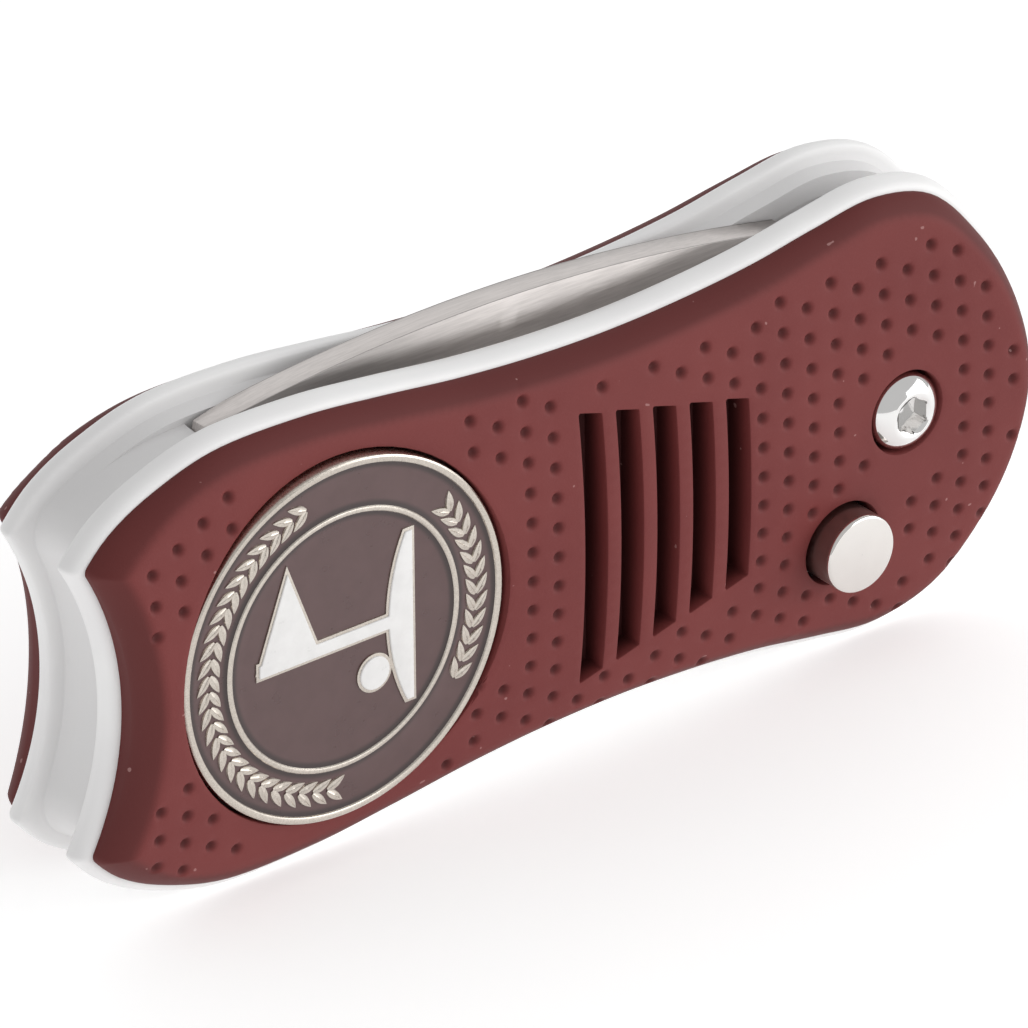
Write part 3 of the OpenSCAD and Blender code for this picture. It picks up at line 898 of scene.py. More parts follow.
# %% The points that the face is triangulated through
ROLL_STEPS = (0.015, 0.06, 0.14, 0.26, 0.42, 0.62, 0.88, 1.18, 1.52, 1.9, 2.3)
CLOSE_ROLL = 0.5  # rim loops closer to the edge than this are kept whole
DIMPLE_RINGS = [(0.0, 1), (0.14, 8), (0.27, 12), (0.39, 14), (0.51, 16), (0.66, 14)]
RING_TWIST = 7  # turns each ring against the one inside it, in radians a millimetre
GRID_STEP, GRID_ROW = 0.62, 0.866  # spacing of the loose points, and of their rows as a share
HOLE_ROOM, DIMPLE_ROOM, RIM_ROOM = 0.3, 0.9, 0.72


def grip_face_points(holes, grown, spots):
    """Loops and loose points that the face is triangulated through."""
    rim = [case_loop(-step, HORN_SOFT) for step in ROLL_STEPS]
    close = [loop for loop, step in zip(rim, ROLL_STEPS) if step < CLOSE_ROLL]
    loops = [OUTLINE] + close + holes + grown
    loose = []
    for spot in spots:
        for radius, count in DIMPLE_RINGS:
            turn = np.linspace(0, 2 * math.pi, count, endpoint=False) + radius * RING_TWIST
            loose.append(spot + radius * np.stack([np.cos(turn), np.sin(turn)], 1))
    grid = np.array([
        (x + (k % 2) * GRID_STEP / 2, z)
        for k, z in enumerate(np.arange(-16, 16, GRID_STEP * GRID_ROW))
        for x in np.arange(-38, 38, GRID_STEP)
    ])
    good = inside(grid, case_loop(-ROLL_STEPS[-1] - HOLE_ROOM))
    for loop in holes:
        good &= ~inside(grid, loop) & (distance_to(grid, loop) > HOLE_ROOM)
    tree = KDTree(len(spots))
    for k, spot in enumerate(spots):
        tree.insert((*spot, 0), k)
    tree.balance()
    good &= np.array([tree.find((*p, 0))[2] > DIMPLE_ROOM for p in grid])
    loose.append(grid[good])
    wide = np.vstack([loop for loop, step in zip(rim, ROLL_STEPS) if step > CLOSE_ROLL])
    loose.append(wide[[tree.find((*p, 0))[2] > RIM_ROOM for p in wide]])
    return loops, np.vstack(loose)


def triangulated(loops, loose, hole_loops):
    """Triangles inside the first loop and outside every hole, through all the points."""
    points, edges = [], []
    for loop in loops:
        start = len(points)
        points += [Vector(p) for p in loop]
        edges += [(start + k, start + (k + 1) % len(loop)) for k in range(len(loop))]
    points += [Vector(p) for p in loose]
    flat, _, faces, origin, _, _ = delaunay_2d_cdt(points, edges, [], 0, 1e-5)
    flat = np.array([tuple(p) for p in flat])
    faces = np.array([f for f in faces])
    middle = flat[faces].mean(axis=1)
    keep = inside(middle, loops[0])
    for loop in hole_loops:
        keep &= ~inside(middle, loop)
    new_index = {old: k for k, group in enumerate(origin) for old in group}
    return flat, faces[keep], new_index


# %% [markdown]
# A whole grip is its face, a wall down from each loop, a floor in each slot and a flat back with
# the through holes left open. Points at the bottom of slots and holes are marked as deep and
# points near the outline as rolled, so that the finish can paint shade there.

# %% A whole grip
def make_grip(name, side, round_holes, recess, spots, widths):
    """A grip: face, rolled edge, slots and holes. side is -1 for the front, 1 for the rear.
    A round hole is its centre, its radius and the room that dimples leave round it. Its recess
    is None for a through hole, or the place of a floor and the radius of the hole in that."""
    slots = [subdivided(slot_loop(i)) for i in range(SLOTS)]
    rounds = [circle_loop(c, r) for c, r, _ in round_holes]
    holes = slots + rounds
    grown = [subdivided(slot_loop(i, LIP_ROLL * g)) for i in range(SLOTS) for g in (0.4, 1.0)]
    grown += [circle_loop(c, r + LIP_ROLL * g) for c, r, _ in round_holes for g in (0.4, 1.0)]
    loops, loose = grip_face_points(holes, grown, spots)
    flat, faces, index = triangulated(loops, loose, holes)
    depth = grip_depth(flat, holes, widths)
    points = [(x, side * (HALF_T - d), z) for (x, z), d in zip(flat, depth)]
    faces = [tuple(int(k) for k in f) for f in faces]
    starts = np.cumsum([0] + [len(loop) for loop in loops])
    sunk = []

    def loop_index(number):
        return [index[k] for k in range(starts[number], starts[number + 1])]

    def wall(top, loop, bottom_y):
        base = len(points)
        points.extend((x, side * bottom_y, z) for x, z in loop)
        count = len(loop)
        faces.extend(
            (top[k], top[(k + 1) % count], base + (k + 1) % count, base + k) for k in range(count)
        )
        return [base + k for k in range(count)]

    back = [wall(loop_index(0), OUTLINE, PLATE_OUT)]
    first_hole = len(loops) - len(grown) - len(holes)
    for k, loop in enumerate(holes):
        top = loop_index(first_hole + k)
        if k < SLOTS:
            floor_ring = wall(top, loop, HALF_T - SLOT_DEPTH)
            faces.append(tuple(floor_ring))
            sunk += floor_ring
        elif recess[k - SLOTS] is None:
            back.append(wall(top, loop, PLATE_OUT))
            sunk += back[-1]
        else:
            floor, inner = recess[k - SLOTS]
            outer_ring = wall(top, loop, floor)
            sunk += outer_ring
            ring = circle_loop(round_holes[k - SLOTS][0], inner, len(loop))
            inner_ring = wall(outer_ring, ring, floor)
            back.append(wall(inner_ring, ring, PLATE_OUT))
    flat_loops = [np.array([(points[i][0], points[i][2]) for i in loop]) for loop in back]
    back_flat, back_faces, back_index = triangulated(flat_loops, np.zeros((0, 2)), flat_loops[1:])
    order = [i for loop in back for i in loop]
    to_point = {back_index[k]: order[k] for k in range(len(order))}
    faces += [tuple(to_point[int(i)] for i in f) for f in back_faces]
    thing = piece_from(name, [place(*p) for p in points], faces, 40)
    # points at the bottom of slots and holes, used by the finish for painted shade
    deep = thing.data.attributes.new("deep", "FLOAT", "POINT")
    for i in sunk:
        deep.data[i].value = 1.0
    # share of the rolled edge, used by the finish for painted shade along the edge
    rolled = thing.data.attributes.new("rolled", "FLOAT", "POINT")
    for i, share in enumerate(edge_share(np.array(points)[:, [0, 2]], widths)):
        rolled.data[i].value = share
    return thing, np.column_stack([spots, grip_depth(spots, holes, widths)])


# %% [markdown]
# The dimple press is a small node tree. It measures how far each point of the face is from the
# nearest dimple centre and pushes it in by a smooth profile. Its radius, depth and direction
# are named inputs, so the same tree serves both grips.

# %% A node tree that presses dimples
def dimple_press():
    tree = Recipe("press_dimples", Mesh="Geometry", Centres="Object", Radius="Float", Push="Vector")
    centres = tree.node(
        "GeometryNodeObjectInfo", None, output="Geometry", Object=tree.given("Centres")
    )
    away = tree.node(
        "GeometryNodeProximity", {"target_element": "POINTS"}, centres, output="Distance"
    )
    share = tree.node(
        "ShaderNodeMapRange", {"interpolation_type": "SMOOTHSTEP"}, away,
        From_Min=0.0, From_Max=tree.given("Radius"), To_Min=1.0, To_Max=0.0,
    )
    push = tree.node(
        "ShaderNodeVectorMath", {"operation": "SCALE"}, tree.given("Push"), output="Vector",
        Scale=share,
    )
    # keeps the dimple profile, which the soft grip's finish uses for painted shade in the pits
    marked = tree.node(
        "GeometryNodeStoreNamedAttribute", {"data_type": "FLOAT", "domain": "POINT"},
        tree.given("Mesh"), Name="pit", Value=share,
    )
    return tree.ends_with(tree.node("GeometryNodeSetPosition", None, marked, Offset=push))


PRESS = dimple_press()

# %% Setting a tree's inputs, and pressing one grip
def set_input(modifier, name, value):
    """Sets a node modifier's input by its socket's identifier."""
    for item in modifier.node_group.interface.items_tree:
        if item.item_type == "SOCKET" and item.in_out == "INPUT" and item.name == name:
            modifier[item.identifier] = value


def press(thing, side, spots):
    centres = bpy.data.meshes.new("dimple_centres")
    centres.from_pydata([place(x, side * (HALF_T - d), z) for x, z, d in spots], [], [])
    holder = bpy.data.objects.new("dimple_centres", centres)
    bpy.context.scene.collection.objects.link(holder)
    step = thing.modifiers.new("dimples", "NODES")
    step.node_group = PRESS
    set_input(step, "Centres", holder)
    set_input(step, "Radius", DIMPLE_R * MM)
    set_input(step, "Push", (0.0, -side * DIMPLE_DEPTH * MM, 0.0))
    set_input(step, "Material", SILICONE)
    baked(thing)
    bpy.data.objects.remove(holder)
    smooth(thing, 40)


# %% Both grips
RECESS_R, BUTTON_HOLE_R, SEAT_R, CUP_HOLE_R = 2.9, BUTTON_R + 0.3, MARKER_R + 0.2, CUP_R + 0.2
front_holes = [
    (np.array([MARKER_X, 0.0]), SEAT_R, 0.95),
    (PIVOT, RECESS_R, 1.15),
    (BUTTON, BUTTON_HOLE_R, 1.15),
]
front_grip, spots = make_grip(
    "soft_front_grip", -1, front_holes, [(MARKER_BACK, CUP_HOLE_R), None, None],
    listed_spots(FRONT_ROWS), FRONT_ROLL,
)
press(front_grip, -1, spots)
finish_piece(front_grip, SILICONE, "case", ["front_grip"])
rear_holes = [(PIVOT, RECESS_R, 1.15)]
rear_grip, spots = make_grip(
    "soft_rear_grip", 1, rear_holes, [None], clear_spots(rear_holes), REAR_ROLL
)
press(rear_grip, 1, spots)
finish_piece(rear_grip, SILICONE, "case", ["rear_grip"])
print("dimples on the rear:", len(spots))

# %% [markdown]
# ## The forked blade
# The blade is stamped from plate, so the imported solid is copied. It is cut across into short
# lengths, and the lengths of the tines are made thinner towards the tips, as they are coined to
# a point to slip into turf. The edges are then broken with a narrow bevel.

# %% Blade, coined thinner towards its tips
BLADE_TILT = math.radians(9.2)  # how far the folded fork points up from the tool's length
CUT_PITCH = 1.25


def coined_blade(first=25.0, last=53.0, thin=0.94, sharp=4.0, tip=0.55):
    """The tines run from first to last, as distances from the pivot. Their thickness falls to
    the share thin, and over the last stretch, which is sharp long, it falls to the share tip."""
    thing = refined("fork_blade")
    shape = bmesh.new()
    shape.from_mesh(thing.data)
    along = Vector((-math.cos(BLADE_TILT), 0, math.sin(BLADE_TILT)))
    pivot = place(PIVOT[0], 0, PIVOT[1])
    for reach in np.arange(first, last - 0.3, CUT_PITCH):
        bmesh.ops.bisect_plane(
            shape, geom=shape.verts[:] + shape.edges[:] + shape.faces[:],
            plane_co=pivot + along * reach * MM, plane_no=along,
        )
    for vertex in shape.verts:
        reach = (vertex.co - pivot).dot(along) / MM
        share = min(max((reach - first) / (last - first), 0), 1)
        point = min(max((reach - last + sharp) / sharp, 0), 1) ** 2
        left = 1 - (1 - thin) * share - (thin - tip) * point
        vertex.co.y = pivot.y + (vertex.co.y - pivot.y) * left
    bmesh.ops.recalc_face_normals(shape, faces=shape.faces)
    shape.to_mesh(thing.data)
    shape.free()
    edges_broken(thing, 0.09)
    smooth(thing, 30)
    return thing


blade = coined_blade()
finish_piece(blade, BLADE_STEEL, "blade", ["fork_blade"])

# %% [markdown]
# ## Pivot parts
# The blade's bushing turns on a barrel nut between two bronze washers. The screw has a domed
# button head with a hexagon socket, and it sits in the recess of the front grip. All are
# turned parts, and a hexagon is only a ring whose radius changes with the angle.

# %% Pivot screw
def hexagon(flat):
    """Radius of a hexagon of a given width across its flats, at any angle."""
    return lambda a: flat / 2 / math.cos((a + math.pi / 6) % (math.pi / 3) - math.pi / 6)


def softened(radius, hexed, share):
    return lambda a: radius * (1 - share) + hexed(a) * share


SOCKET = hexagon(2.3)
HEAD_R, HEAD_TOP_R = 2.62, 1.62
DOME = [
    (HEAD_R, 0.98), (2.60, 0.90), (2.54, 0.78), (2.43, 0.62), (2.28, 0.45), (2.10, 0.29),
    (1.92, 0.16), (1.76, 0.07),
]
screw = turned("pivot_screw_head", [
    (1.45, CHANNEL + 1), (1.5, CHANNEL + 0.9), (1.5, -SCREW_SEAT), (HEAD_R - 0.08, -SCREW_SEAT),
    (HEAD_R, -SCREW_SEAT - 0.08),
] + [(radius, -SCREW_FACE + down) for radius, down in DOME] + [
    (HEAD_TOP_R + 0.06, -SCREW_FACE + 0.03), (HEAD_TOP_R, -SCREW_FACE), (1.46, -SCREW_FACE),
    (1.40, -SCREW_FACE + 0.03),
    (softened(1.34, SOCKET, 0.6), -SCREW_FACE + 0.10), (SOCKET, -SCREW_FACE + 0.16),
    (SOCKET, -SCREW_FACE + 1.4), (0.9, -SCREW_FACE + 1.42), (0.05, -SCREW_FACE + 1.7),
], PIVOT, 120, 28)
finish_piece(screw, CHROME, "case", ["pivot_screw"])

# %% Barrel nut, washers and bushing
BARREL_HEX = hexagon(2.5)
barrel = turned("pivot_barrel_nut", [
    (1.55, -CHANNEL), (2.14, -CHANNEL), (2.2, -CHANNEL + 0.06), (2.2, PLATE_OUT - 0.9),
    (3.14, PLATE_OUT - 0.9), (3.2, PLATE_OUT - 0.84), (3.2, PLATE_OUT - 0.12),
    (3.08, PLATE_OUT), (3.0, PLATE_OUT), (1.68, PLATE_OUT), (1.62, PLATE_OUT - 0.02),
    (softened(1.5, BARREL_HEX, 0.6), PLATE_OUT - 0.08), (BARREL_HEX, PLATE_OUT - 0.14),
    (BARREL_HEX, PLATE_OUT - 0.8), (1.0, PLATE_OUT - 0.8), (0.9, PLATE_OUT - 0.83),
    (0.05, PLATE_OUT - 0.95), (0.05, CHANNEL + 1.2), (1.55, CHANNEL + 1.15),
], PIVOT, 120, 28, hollow=True)
finish_piece(barrel, CHROME, "case", ["pivot_barrel"])
under_head = washer("screw_head_washer", PIVOT, 1.55, 2.75, -SCREW_SEAT, -PLATE_OUT, 0.08)
finish_piece(under_head, CHROME, "case", ["screw_washer"])
bushing = washer("blade_pivot_bushing", PIVOT, 2.25, 2.75, -1.0, 1.0, 0.05)
finish_piece(bushing, BRONZE, "blade", ["blade_bushing"])
for name, start in (("front_thrust_washer", -1.48), ("rear_thrust_washer", 1.06)):
    ring = washer("bronze_" + name, PIVOT, 2.25, 3.6, start, start + 0.42)
    finish_piece(ring, BRONZE, "case", [name])

# %% [markdown]
# ## Springs and wire parts
# A spring is wire wound on a mandrel. Geometry Nodes draw the spiral, lay a round section along
# it and add the leg of the opening spring. The same tree makes the spring clip on the
# plunger, which is less than one flat turn.

# %% A node tree that winds wire
def wire_winder():
    tree = Recipe(
        "wind_wire", Turns="Float", Coil_Radius="Float", Rise="Float", Wire_Radius="Float",
        Centre="Vector", Leg_Out="Vector", Leg_In="Vector", Has_Leg="Bool", Steps="Int",
    )
    reach, corner = tree.given("Coil Radius"), tree.given("Leg Out")
    coil = tree.node(
        "GeometryNodeCurveSpiral", None, Resolution=tree.given("Steps"),
        Rotations=tree.given("Turns"), Start_Radius=reach, End_Radius=reach,
        Height=tree.given("Rise"),
    )
    coil = tree.node("GeometryNodeTransform", None, coil, Rotation=(-math.pi / 2, 0, 0))
    start = tree.node("ShaderNodeCombineXYZ", None, X=reach)
    radial = tree.node("GeometryNodeCurvePrimitiveLine", None, Start=start, End=corner)
    axial = tree.node(
        "GeometryNodeCurvePrimitiveLine", None, Start=corner, End=tree.given("Leg In")
    )
    legs = tree.node("GeometryNodeJoinGeometry", None, [radial, axial])
    legs = tree.node("GeometryNodeSwitch", None, Switch=tree.given("Has Leg"), **{"True": legs})
    path = tree.node("GeometryNodeJoinGeometry", None, [coil, legs])
    section = tree.node(
        "GeometryNodeCurvePrimitiveCircle", None, Resolution=12, Radius=tree.given("Wire Radius")
    )
    tube = tree.node(
        "GeometryNodeCurveToMesh", None, path, Profile_Curve=section, Fill_Caps=True
    )
    return tree.ends_with(
        tree.node("GeometryNodeTransform", None, tube, Translation=tree.given("Centre"))
    )


WINDER = wire_winder()


def from_tree(name, tree, **values):
    """A plain mesh object made by a node tree, whose inputs are set before it is evaluated."""
    holder = bpy.data.objects.new(name, bpy.data.meshes.new(name))
    bpy.context.scene.collection.objects.link(holder)
    step = holder.modifiers.new("make", "NODES")
    step.node_group = tree
    for socket, value in values.items():
        set_input(step, socket.replace("_", " "), value)
    baked(holder)
    smooth(holder, 40)
    return holder


# %% The two springs and the clip
spring = from_tree(
    "wound_opening_spring", WINDER, Turns=2.0, Coil_Radius=3.35 * MM, Rise=1.02 * MM,
    Wire_Radius=0.24 * MM, Centre=place(PIVOT[0], CHANNEL + 0.36, PIVOT[1]),
    Leg_Out=(4.4 * MM, 0, 0), Leg_In=(4.4 * MM, -0.6 * MM, 0), Has_Leg=True, Steps=40,
    Material=WIRE_STEEL,
)
finish_piece(spring, WIRE_STEEL, "case", ["opening_spring"])
low, high = box_mm("button_spring")
wire, travel = 0.15, 1.5
spring = from_tree(
    "wound_button_spring", WINDER, Turns=3.0, Coil_Radius=1.85 * MM,
    Rise=(high[1] - low[1] - 2 * wire) * MM, Wire_Radius=wire * MM,
    Centre=place(BUTTON[0], low[1] - MID_Y + wire, BUTTON[1]), Has_Leg=False, Steps=32,
    Material=WIRE_STEEL,
)
finish_piece(spring, WIRE_STEEL, "case", ["button_spring"])
tuple(place(BUTTON[0], high[1] - MID_Y, BUTTON[1]))
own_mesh(spring)
clip = from_tree(
    "plunger_wire_clip", WINDER, Turns=0.86, Coil_Radius=1.3 * MM, Rise=0.0,
    Wire_Radius=0.29 * MM, Centre=place(BUTTON[0], 0.4, BUTTON[1]), Has_Leg=False, Steps=40,
    Material=WIRE_STEEL,
)
finish_piece(clip, WIRE_STEEL, "button", ["plunger_clip"])

# %% [markdown]
# ## Button and plunger
# The button is a polished pin with a small edge break. It is pressed on the neck of the
# plunger, whose wide flange is the catch under the blade's tang.

# %% Button and plunger
button = turned("button_pin", [
    (1.62, -4.2), (BUTTON_R - 0.05, -4.2), (BUTTON_R, -4.25), (BUTTON_R, -BUTTON_FACE + 0.22),
    (BUTTON_R - 0.03, -BUTTON_FACE + 0.12), (BUTTON_R - 0.1, -BUTTON_FACE + 0.04),
    (BUTTON_R - 0.2, -BUTTON_FACE), (0.02, -BUTTON_FACE), (0.02, -6.7), (1.62, -6.7),
], BUTTON, 120, 28, hollow=True)
finish_piece(button, NICKEL, "button", ["button_cap"])
plunger = turned("catch_plunger", [
    (0.02, -6.68), (1.5, -6.68), (1.58, -6.6), (1.58, -4.2), (BUTTON_R - 0.16, -4.2),
    (BUTTON_R - 0.1, -4.14), (BUTTON_R - 0.1, -1.4), (3.22, -1.4), (3.3, -1.32), (3.3, -0.68),
    (3.22, -0.6), (1.2, -0.6), (1.2, 0.12), (1.02, 0.2), (1.02, 0.6), (1.2, 0.68),
    (1.2, CHANNEL - 0.1), (1.1, CHANNEL), (0.02, CHANNEL),
], BUTTON, 96, 28)
finish_piece(plunger, ZINC, "button", ["lock_plunger"])

# %% [markdown]
# ## Fasteners and stop pins
# The four case screws are alike, and so are their brass inserts. One of each is turned at its
# own place, and Geometry Nodes set it out on all four spots.

# %% A node tree that sets a part out on several spots
def part_setter():
    tree = Recipe("set_out_parts", Spots="Object", Part="Object")
    spots, part = (
        tree.node("GeometryNodeObjectInfo", None, output="Geometry", Object=tree.given(name))
        for name in ("Spots", "Part")
    )
    return tree.ends_with(
        tree.node("GeometryNodeInstanceOnPoints", None, spots, Instance=part)
    )


SETTER = part_setter()


def set_out(name, part, home, spots, material):
    """Copies of a part that was made at home, one on each of the spots."""
    offsets = bpy.data.meshes.new("spots")
    offsets.from_pydata([place(x, 0, z) - place(home[0], 0, home[1]) for x, z in spots], [], [])
    holder = bpy.data.objects.new("spots", offsets)
    bpy.context.scene.collection.objects.link(holder)
    made = from_tree(name, SETTER, Spots=holder, Part=part, Material=material)
    bpy.data.objects.remove(holder)
    bpy.data.objects.remove(part)
    return made


# %% Case screws, inserts and stop pins
HOME = SCREW_SPOTS[0]
SMALL_HEX = hexagon(1.04)
SCREW_END, THREADS, THREAD_PITCH = CHANNEL + 1.6, 16, 0.3
thread = []
for k in range(THREADS):
    y = SCREW_END - 0.1 - k * THREAD_PITCH
    thread += [(0.70, y), (0.60, y - THREAD_PITCH / 2)]
head = [
    (0.68, -3.15), (0.68, -3.25), (1.22, -3.25), (1.3, -3.33), (1.3, -3.8), (1.15, -3.95),
    (0.66, -3.95), (SMALL_HEX, -3.88), (SMALL_HEX, -3.5), (0.02, -3.45),
]
one = turned("one_screw", [(0.02, SCREW_END), (0.58, SCREW_END)] + thread + head, HOME, 48, 30)
screws = set_out("small_case_screws", one, HOME, SCREW_SPOTS, ZINC)
finish_piece(screws, ZINC, "case", ["case_screws"])


def knurl(a):
    """Radius of a knurled band: 24 low ridges."""
    return 1.13 + 0.02 * math.cos(24 * a)


one = turned("one_insert", [
    (0.72, CHANNEL + 0.05), (1.1, CHANNEL + 0.05), (knurl, CHANNEL + 0.15), (knurl, CHANNEL + 0.9),
    (1.02, CHANNEL + 0.95), (1.02, CHANNEL + 1.1), (knurl, CHANNEL + 1.15),
    (knurl, PLATE_OUT - 0.68), (1.08, PLATE_OUT - 0.6), (0.02, PLATE_OUT - 0.6),
    (0.02, CHANNEL + 1.8), (0.72, CHANNEL + 1.8),
], HOME, 96, 40, hollow=True)
inserts = set_out("brass_case_inserts", one, HOME, SCREW_SPOTS, BRASS)
finish_piece(inserts, BRASS, "case", ["case_inserts"])
pins = edges_broken(refined("stop_pins"), 0.1)
smooth(pins, 30)
finish_piece(pins, ZINC, "case", ["stop_pins"])

# %% Magnet and its cup
spot = (MARKER_X, 0.0)
back = -MARKER_BACK
cup = turned("pressed_magnet_cup", [
    (0.02, back + 1.5), (CUP_R - 0.8, back + 1.5), (CUP_R - 0.7, back + 1.4),
    (CUP_R - 0.7, back + 0.08), (CUP_R - 0.62, back), (CUP_R - 0.1, back), (CUP_R, back + 0.1),
    (CUP_R, back + CUP_DEEP - 0.3), (CUP_R - 0.3, back + CUP_DEEP), (0.02, back + CUP_DEEP),
], spot, 96, 28)
finish_piece(cup, CUP_STEEL, "case", ["magnet_cup"])
magnet = turned("round_magnet", [
    (0.02, back + 0.1), (CUP_R - 0.95, back + 0.1), (CUP_R - 0.74, back + 0.3),
    (CUP_R - 0.74, back + 1.48), (0.02, back + 1.48),
], spot, 96, 28)
finish_piece(magnet, MAGNET, "case", ["marker_magnet"])

# %% [markdown]
# ## The ball marker
# The marker is struck from metal: a raised rim, a raised ring and sunk fields that are filled
# with enamel. Its body is turned, and the device in the middle is a flat shape with a bevel.

# %% Marker body and fields
FIELD = 0.3
spot = (MARKER_X, 0.0)
face = -MARKER_FACE
coin = turned("struck_marker", [
    (0.02, -MARKER_BACK), (MARKER_R - 0.15, -MARKER_BACK), (MARKER_R, -MARKER_BACK - 0.12),
    (MARKER_R, face + 0.22), (MARKER_R - 0.05, face + 0.08), (MARKER_R - 0.16, face),
    (RIM_IN + 0.16, face), (RIM_IN + 0.05, face + 0.05), (RIM_IN, face + 0.14),
    (RIM_IN, face + FIELD), (RING_OUT, face + FIELD), (RING_OUT, face + 0.12),
    (RING_OUT - 0.06, face + 0.05), (RING_OUT - 0.14, face + 0.02), (RING_IN + 0.14, face + 0.02),
    (RING_IN + 0.06, face + 0.05), (RING_IN, face + 0.12), (RING_IN, face + FIELD),
    (0.02, face + FIELD),
], spot, 160, 28)
finish_piece(coin, COIN_METAL, "marker", ["marker_coin"])
outer = turned("enamel_outer_field", [
    (RING_OUT, face + FIELD), (RING_OUT, face + 0.15), (RING_OUT + 0.25, face + 0.2),
    ((RING_OUT + RIM_IN) / 2, face + 0.22), (RIM_IN - 0.25, face + 0.2), (RIM_IN, face + 0.15),
    (RIM_IN, face + FIELD),
], spot, 160, 50)
finish_piece(outer, BROWN_ENAMEL, "marker", ["coin_outer_enamel"])
inner = turned("enamel_inner_field", [
    (0.02, face + FIELD), (RING_IN, face + FIELD), (RING_IN, face + 0.15),
    (RING_IN - 0.3, face + 0.2), (RING_IN - 1, face + 0.22), (0.02, face + 0.22),
], spot, 160, 50)
finish_piece(inner, BROWN_ENAMEL, "marker", ["coin_inner_enamel"])

# %% The device in the middle
def device_loops(grow=0.0):
    """A pin flag, its pole, a green and a ball, as closed loops. The second value points up
    when the marker is read. Each loop can be grown outwards by a distance."""
    pole = [(-0.45, -5.4), (0.45, -5.4), (0.45, 6.6), (-0.45, 6.6)]
    flag = [(0.0, 6.6), (0.0, 2.0), (6.2, 4.3)]
    arc = [(14 * math.sin(a), -17.5 + 14 * math.cos(a)) for a in np.linspace(0.4429, -0.4429, 19)]
    green = [(-6.0, -5.4), (6.0, -5.4)] + arc
    turn = np.linspace(0, 2 * math.pi, 36, endpoint=False)
    ball = [(-3.2 + 1.15 * math.cos(a), -2.35 + 1.15 * math.sin(a)) for a in turn]
    return [grown_loop(np.array(loop), grow) for loop in (pole, flag, green, ball)]


def grown_loop(loop, grow):
    """Moves every side of a closed loop outwards, with the loop given anticlockwise."""
    area = np.sum(loop[:, 0] * np.roll(loop[:, 1], -1) - loop[:, 1] * np.roll(loop[:, 0], -1))
    loop = loop if area > 0 else loop[::-1]
    side = np.roll(loop, -1, axis=0) - loop
    out = np.stack([side[:, 1], -side[:, 0]], 1) / np.hypot(*side.T)[:, None]
    before = np.roll(out, 1, axis=0)
    mitre = (out + before) / np.maximum(1 + np.sum(out * before, axis=1), 0.25)[:, None]
    return loop + grow * mitre


def raised(name, loops, bottom, top, bevel):
    """Flat loops of the marker's device made solid, with rounded upper edges."""
    first, *others = [
        loft(name, [[place(MARKER_X - b, y, a) for a, b in loop] for y in (bottom, top)])
        for loop in loops
    ]
    for solid in others:
        combined(first, [solid], "UNION")
    edges_broken(first, bevel, 3, 50)
    smooth(first, 40)
    return first


emblem = raised("pin_flag_device", device_loops(), face + FIELD, face + 0.02, 0.12)
finish_piece(emblem, WHITE_ENAMEL, "marker", ["coin_emblem"])
border = raised("device_metal_border", device_loops(0.2), face + FIELD, face + 0.13, 0.05)
finish_piece(border, COIN_METAL, "marker")

# %% [markdown]
# A wreath of small struck leaves fills the marker's outer field. Each leaf is one little domed
# mesh. Geometry Nodes set the leaves out along an arc, lean every other one inwards, and turn
# each one to follow the arc.

# %% One leaf
def make_leaf(length=1.5, width=0.62, rise=0.16):
    """A pointed leaf along X with a raised midrib, on the plane y = 0, rising towards -Y."""
    stations = np.linspace(0, 1, 9)
    points, faces = [], []
    for t in stations:
        half = width / 2 * math.sin(math.pi * min(1, 0.06 + 0.94 * t) ** 0.8) ** 0.9 + 0.01
        top = rise * (0.35 + 0.65 * math.sin(math.pi * min(0.95, max(0.05, t))))
        for side, up in ((-1, 0), (-0.86, 0.72), (-0.1, 0.80), (0, 1.0), (0.1, 0.80), (0.86, 0.72),
                         (1, 0)):
            points.append(Vector((t * length, -top * up, side * half)) * MM)
    row = 7
    for r in range(len(stations) - 1):
        for i in range(row):
            j = (i + 1) % row
            faces.append((r * row + i, r * row + j, (r + 1) * row + j, (r + 1) * row + i))
    faces.append(tuple(range(row)))
    faces.append(tuple(len(points) - 1 - i for i in range(row)))
    return piece_from("one_leaf", points, faces, 40)


# %% A node tree that lays a wreath
def wreath_layer():
    """Leaves stand in pairs: even ones inside the arc's radius and odd ones outside it."""
    tree = Recipe(
        "lay_wreath", Leaf="Object", Count="Int", From="Float", To="Float", Radius="Float",
        Spread="Float", Lean="Float", Centre="Vector",
    )
    count, start = tree.given("Count"), tree.given("From")
    index = tree.node("GeometryNodeInputIndex")
    sign = index.maths("MODULO", 2.0) * 2.0 - 1.0
    step = (index / 2.0).maths("FLOOR") / (count / 2.0 - 1.0)
    angle = start + step * (tree.given("To") - start)
    reach = tree.given("Radius") + sign * tree.given("Spread")
    spot = tree.node(
        "ShaderNodeCombineXYZ", None, X=reach * angle.maths("COSINE"), Z=reach * angle.maths("SINE")
    )
    turn = tree.node(
        "ShaderNodeCombineXYZ", None, Y=sign * tree.given("Lean") - (angle + math.pi / 2)
    )
    leaf = tree.node("GeometryNodeObjectInfo", None, output="Geometry", Object=tree.given("Leaf"))
    dots = tree.node("GeometryNodePoints", None, count, spot)
    copies = tree.node(
        "GeometryNodeInstanceOnPoints", None, dots, Instance=leaf, Rotation=turn
    )
    return tree.ends_with(
        tree.node("GeometryNodeTransform", None, copies, Translation=tree.given("Centre"))
    )


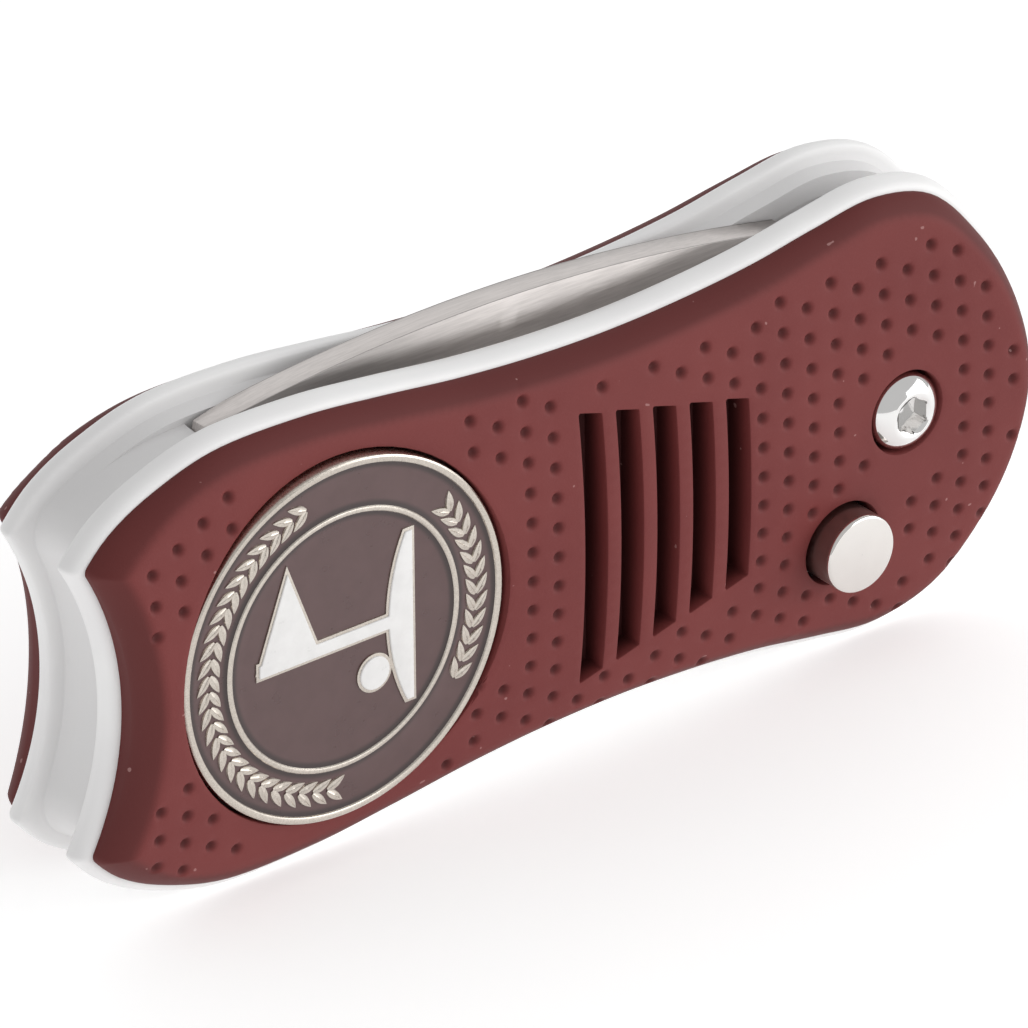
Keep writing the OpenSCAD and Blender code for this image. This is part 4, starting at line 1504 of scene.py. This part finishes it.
# %% The two arcs of leaves
LAYER = wreath_layer()
leaf = make_leaf()
print("one leaf has", len(leaf.data.polygons), "faces")
for name, count, start, end in (
    ("long_leaf_arc", 52, 105, 262), ("short_leaf_arc", 24, -34, 36)
):
    arc = from_tree(
        name, LAYER, Leaf=leaf, Count=count, From=math.radians(start), To=math.radians(end),
        Radius=10.42 * MM, Spread=0.05 * MM, Lean=math.radians(32), Material=COIN_METAL,
        Centre=place(MARKER_X, face + 0.21, 0),
    )
    finish_piece(arc, COIN_METAL, "marker")
bpy.data.objects.remove(leaf)

# %% [markdown]
# ## Camera, light and floor
# The tool stands on its long edge and is seen from the left, from above the front. A long lens
# keeps it nearly free of perspective. One big soft light stands to the front right, so that the
# edges rolled away to the left fall into shade, and a pale world fills the rest.

# %% Camera
AZIMUTH, ELEVATION, ROLL = math.radians(-37.93), math.radians(29.13), math.radians(-0.5)
LENS, DISTANCE = 434.4, 769.2  # focal length and distance, both in millimetres
ASIDE, ABOVE = 10.473, 7.859  # where the camera points, from the middle of the marker
toward = Vector((
    math.sin(AZIMUTH) * math.cos(ELEVATION),
    -math.cos(AZIMUTH) * math.cos(ELEVATION),
    math.sin(ELEVATION),
))
right = Vector((math.cos(AZIMUTH), math.sin(AZIMUTH), 0))
up = toward.cross(right)
right, up = (
    right * math.cos(ROLL) + up * math.sin(ROLL), up * math.cos(ROLL) - right * math.sin(ROLL)
)
camera = bpy.data.objects.new("camera", bpy.data.cameras.new("camera"))
bpy.context.scene.collection.objects.link(camera)
camera.data.lens = LENS
camera.data.sensor_width = 36
camera.data.clip_start, camera.data.clip_end = 0.01, 20
camera.location = place(MARKER_X, face, 0) + MM * (
    ASIDE * right + ABOVE * up + DISTANCE * toward
)
camera.rotation_mode = "QUATERNION"
camera.rotation_quaternion = Matrix((right, up, toward)).transposed().to_quaternion()
bpy.context.scene.camera = camera
print("camera at", tuple(round(v, 3) for v in camera.location))

# %% Floor
FAR = 3.0
corners = [(-FAR, -FAR, 0), (FAR, -FAR, 0), (FAR, FAR, 0), (-FAR, FAR, 0)]
floor = piece_from("floor", corners, [(0, 1, 2, 3)])
paper = Finish("pale_floor", Roughness=0.8, Emission_Strength=0.38)
paper.shader.inputs["Emission Color"].default_value = (1, 1, 1, 1)
cloud = paper.noise(0.01, 2.0)
paper.feed("Base Color", paper.blend(cloud, (0.92, 0.92, 0.92), (0.95, 0.95, 0.95)))
floor.data.materials.append(paper.material)
floor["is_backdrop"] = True
print("floor:", 2 * FAR, "m square")

# %% Lights and world
LOOK_AT = Vector((0, 0, 0.016))


def area_light(name, at, size, power):
    """A soft box that points at the middle of the tool; place and size in metres, power in W."""
    lamp = bpy.data.lights.new(name, "AREA")
    lamp.shape, lamp.size, lamp.size_y = "RECTANGLE", *size
    lamp.energy = power
    thing = bpy.data.objects.new(name, lamp)
    bpy.context.scene.collection.objects.link(thing)
    thing.location = at
    thing.rotation_mode = "QUATERNION"
    thing.rotation_quaternion = (LOOK_AT - Vector(at)).to_track_quat("-Z", "Y")
    print(name, power, "W")


area_light("right_softbox", (1.0, -0.85, 0.25), (1.4, 1.0), 12.0)
area_light("top_softbox", (0.5, 0.65, 0.6), (1.0, 0.8), 1.2)
world = bpy.data.worlds.new("studio")
world.use_nodes = True
sky = world.node_tree.nodes["Background"].inputs
sky["Color"].default_value = (1, 1, 1, 1)
sky["Strength"].default_value = 0.6
bpy.context.scene.world = world
bpy.context.scene.view_settings.view_transform = "Standard"

# %% [markdown]
# ## Closing
# The last lines print how far each corner of the finished box has moved from the imported model's
# box.

finished_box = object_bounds()
for word, cad, made in zip(("lowest", "highest"), cad_box, finished_box):
    print(word, "corner moved by", [round((m - c) / MM, 3) for c, m in zip(cad, made)], "mm")
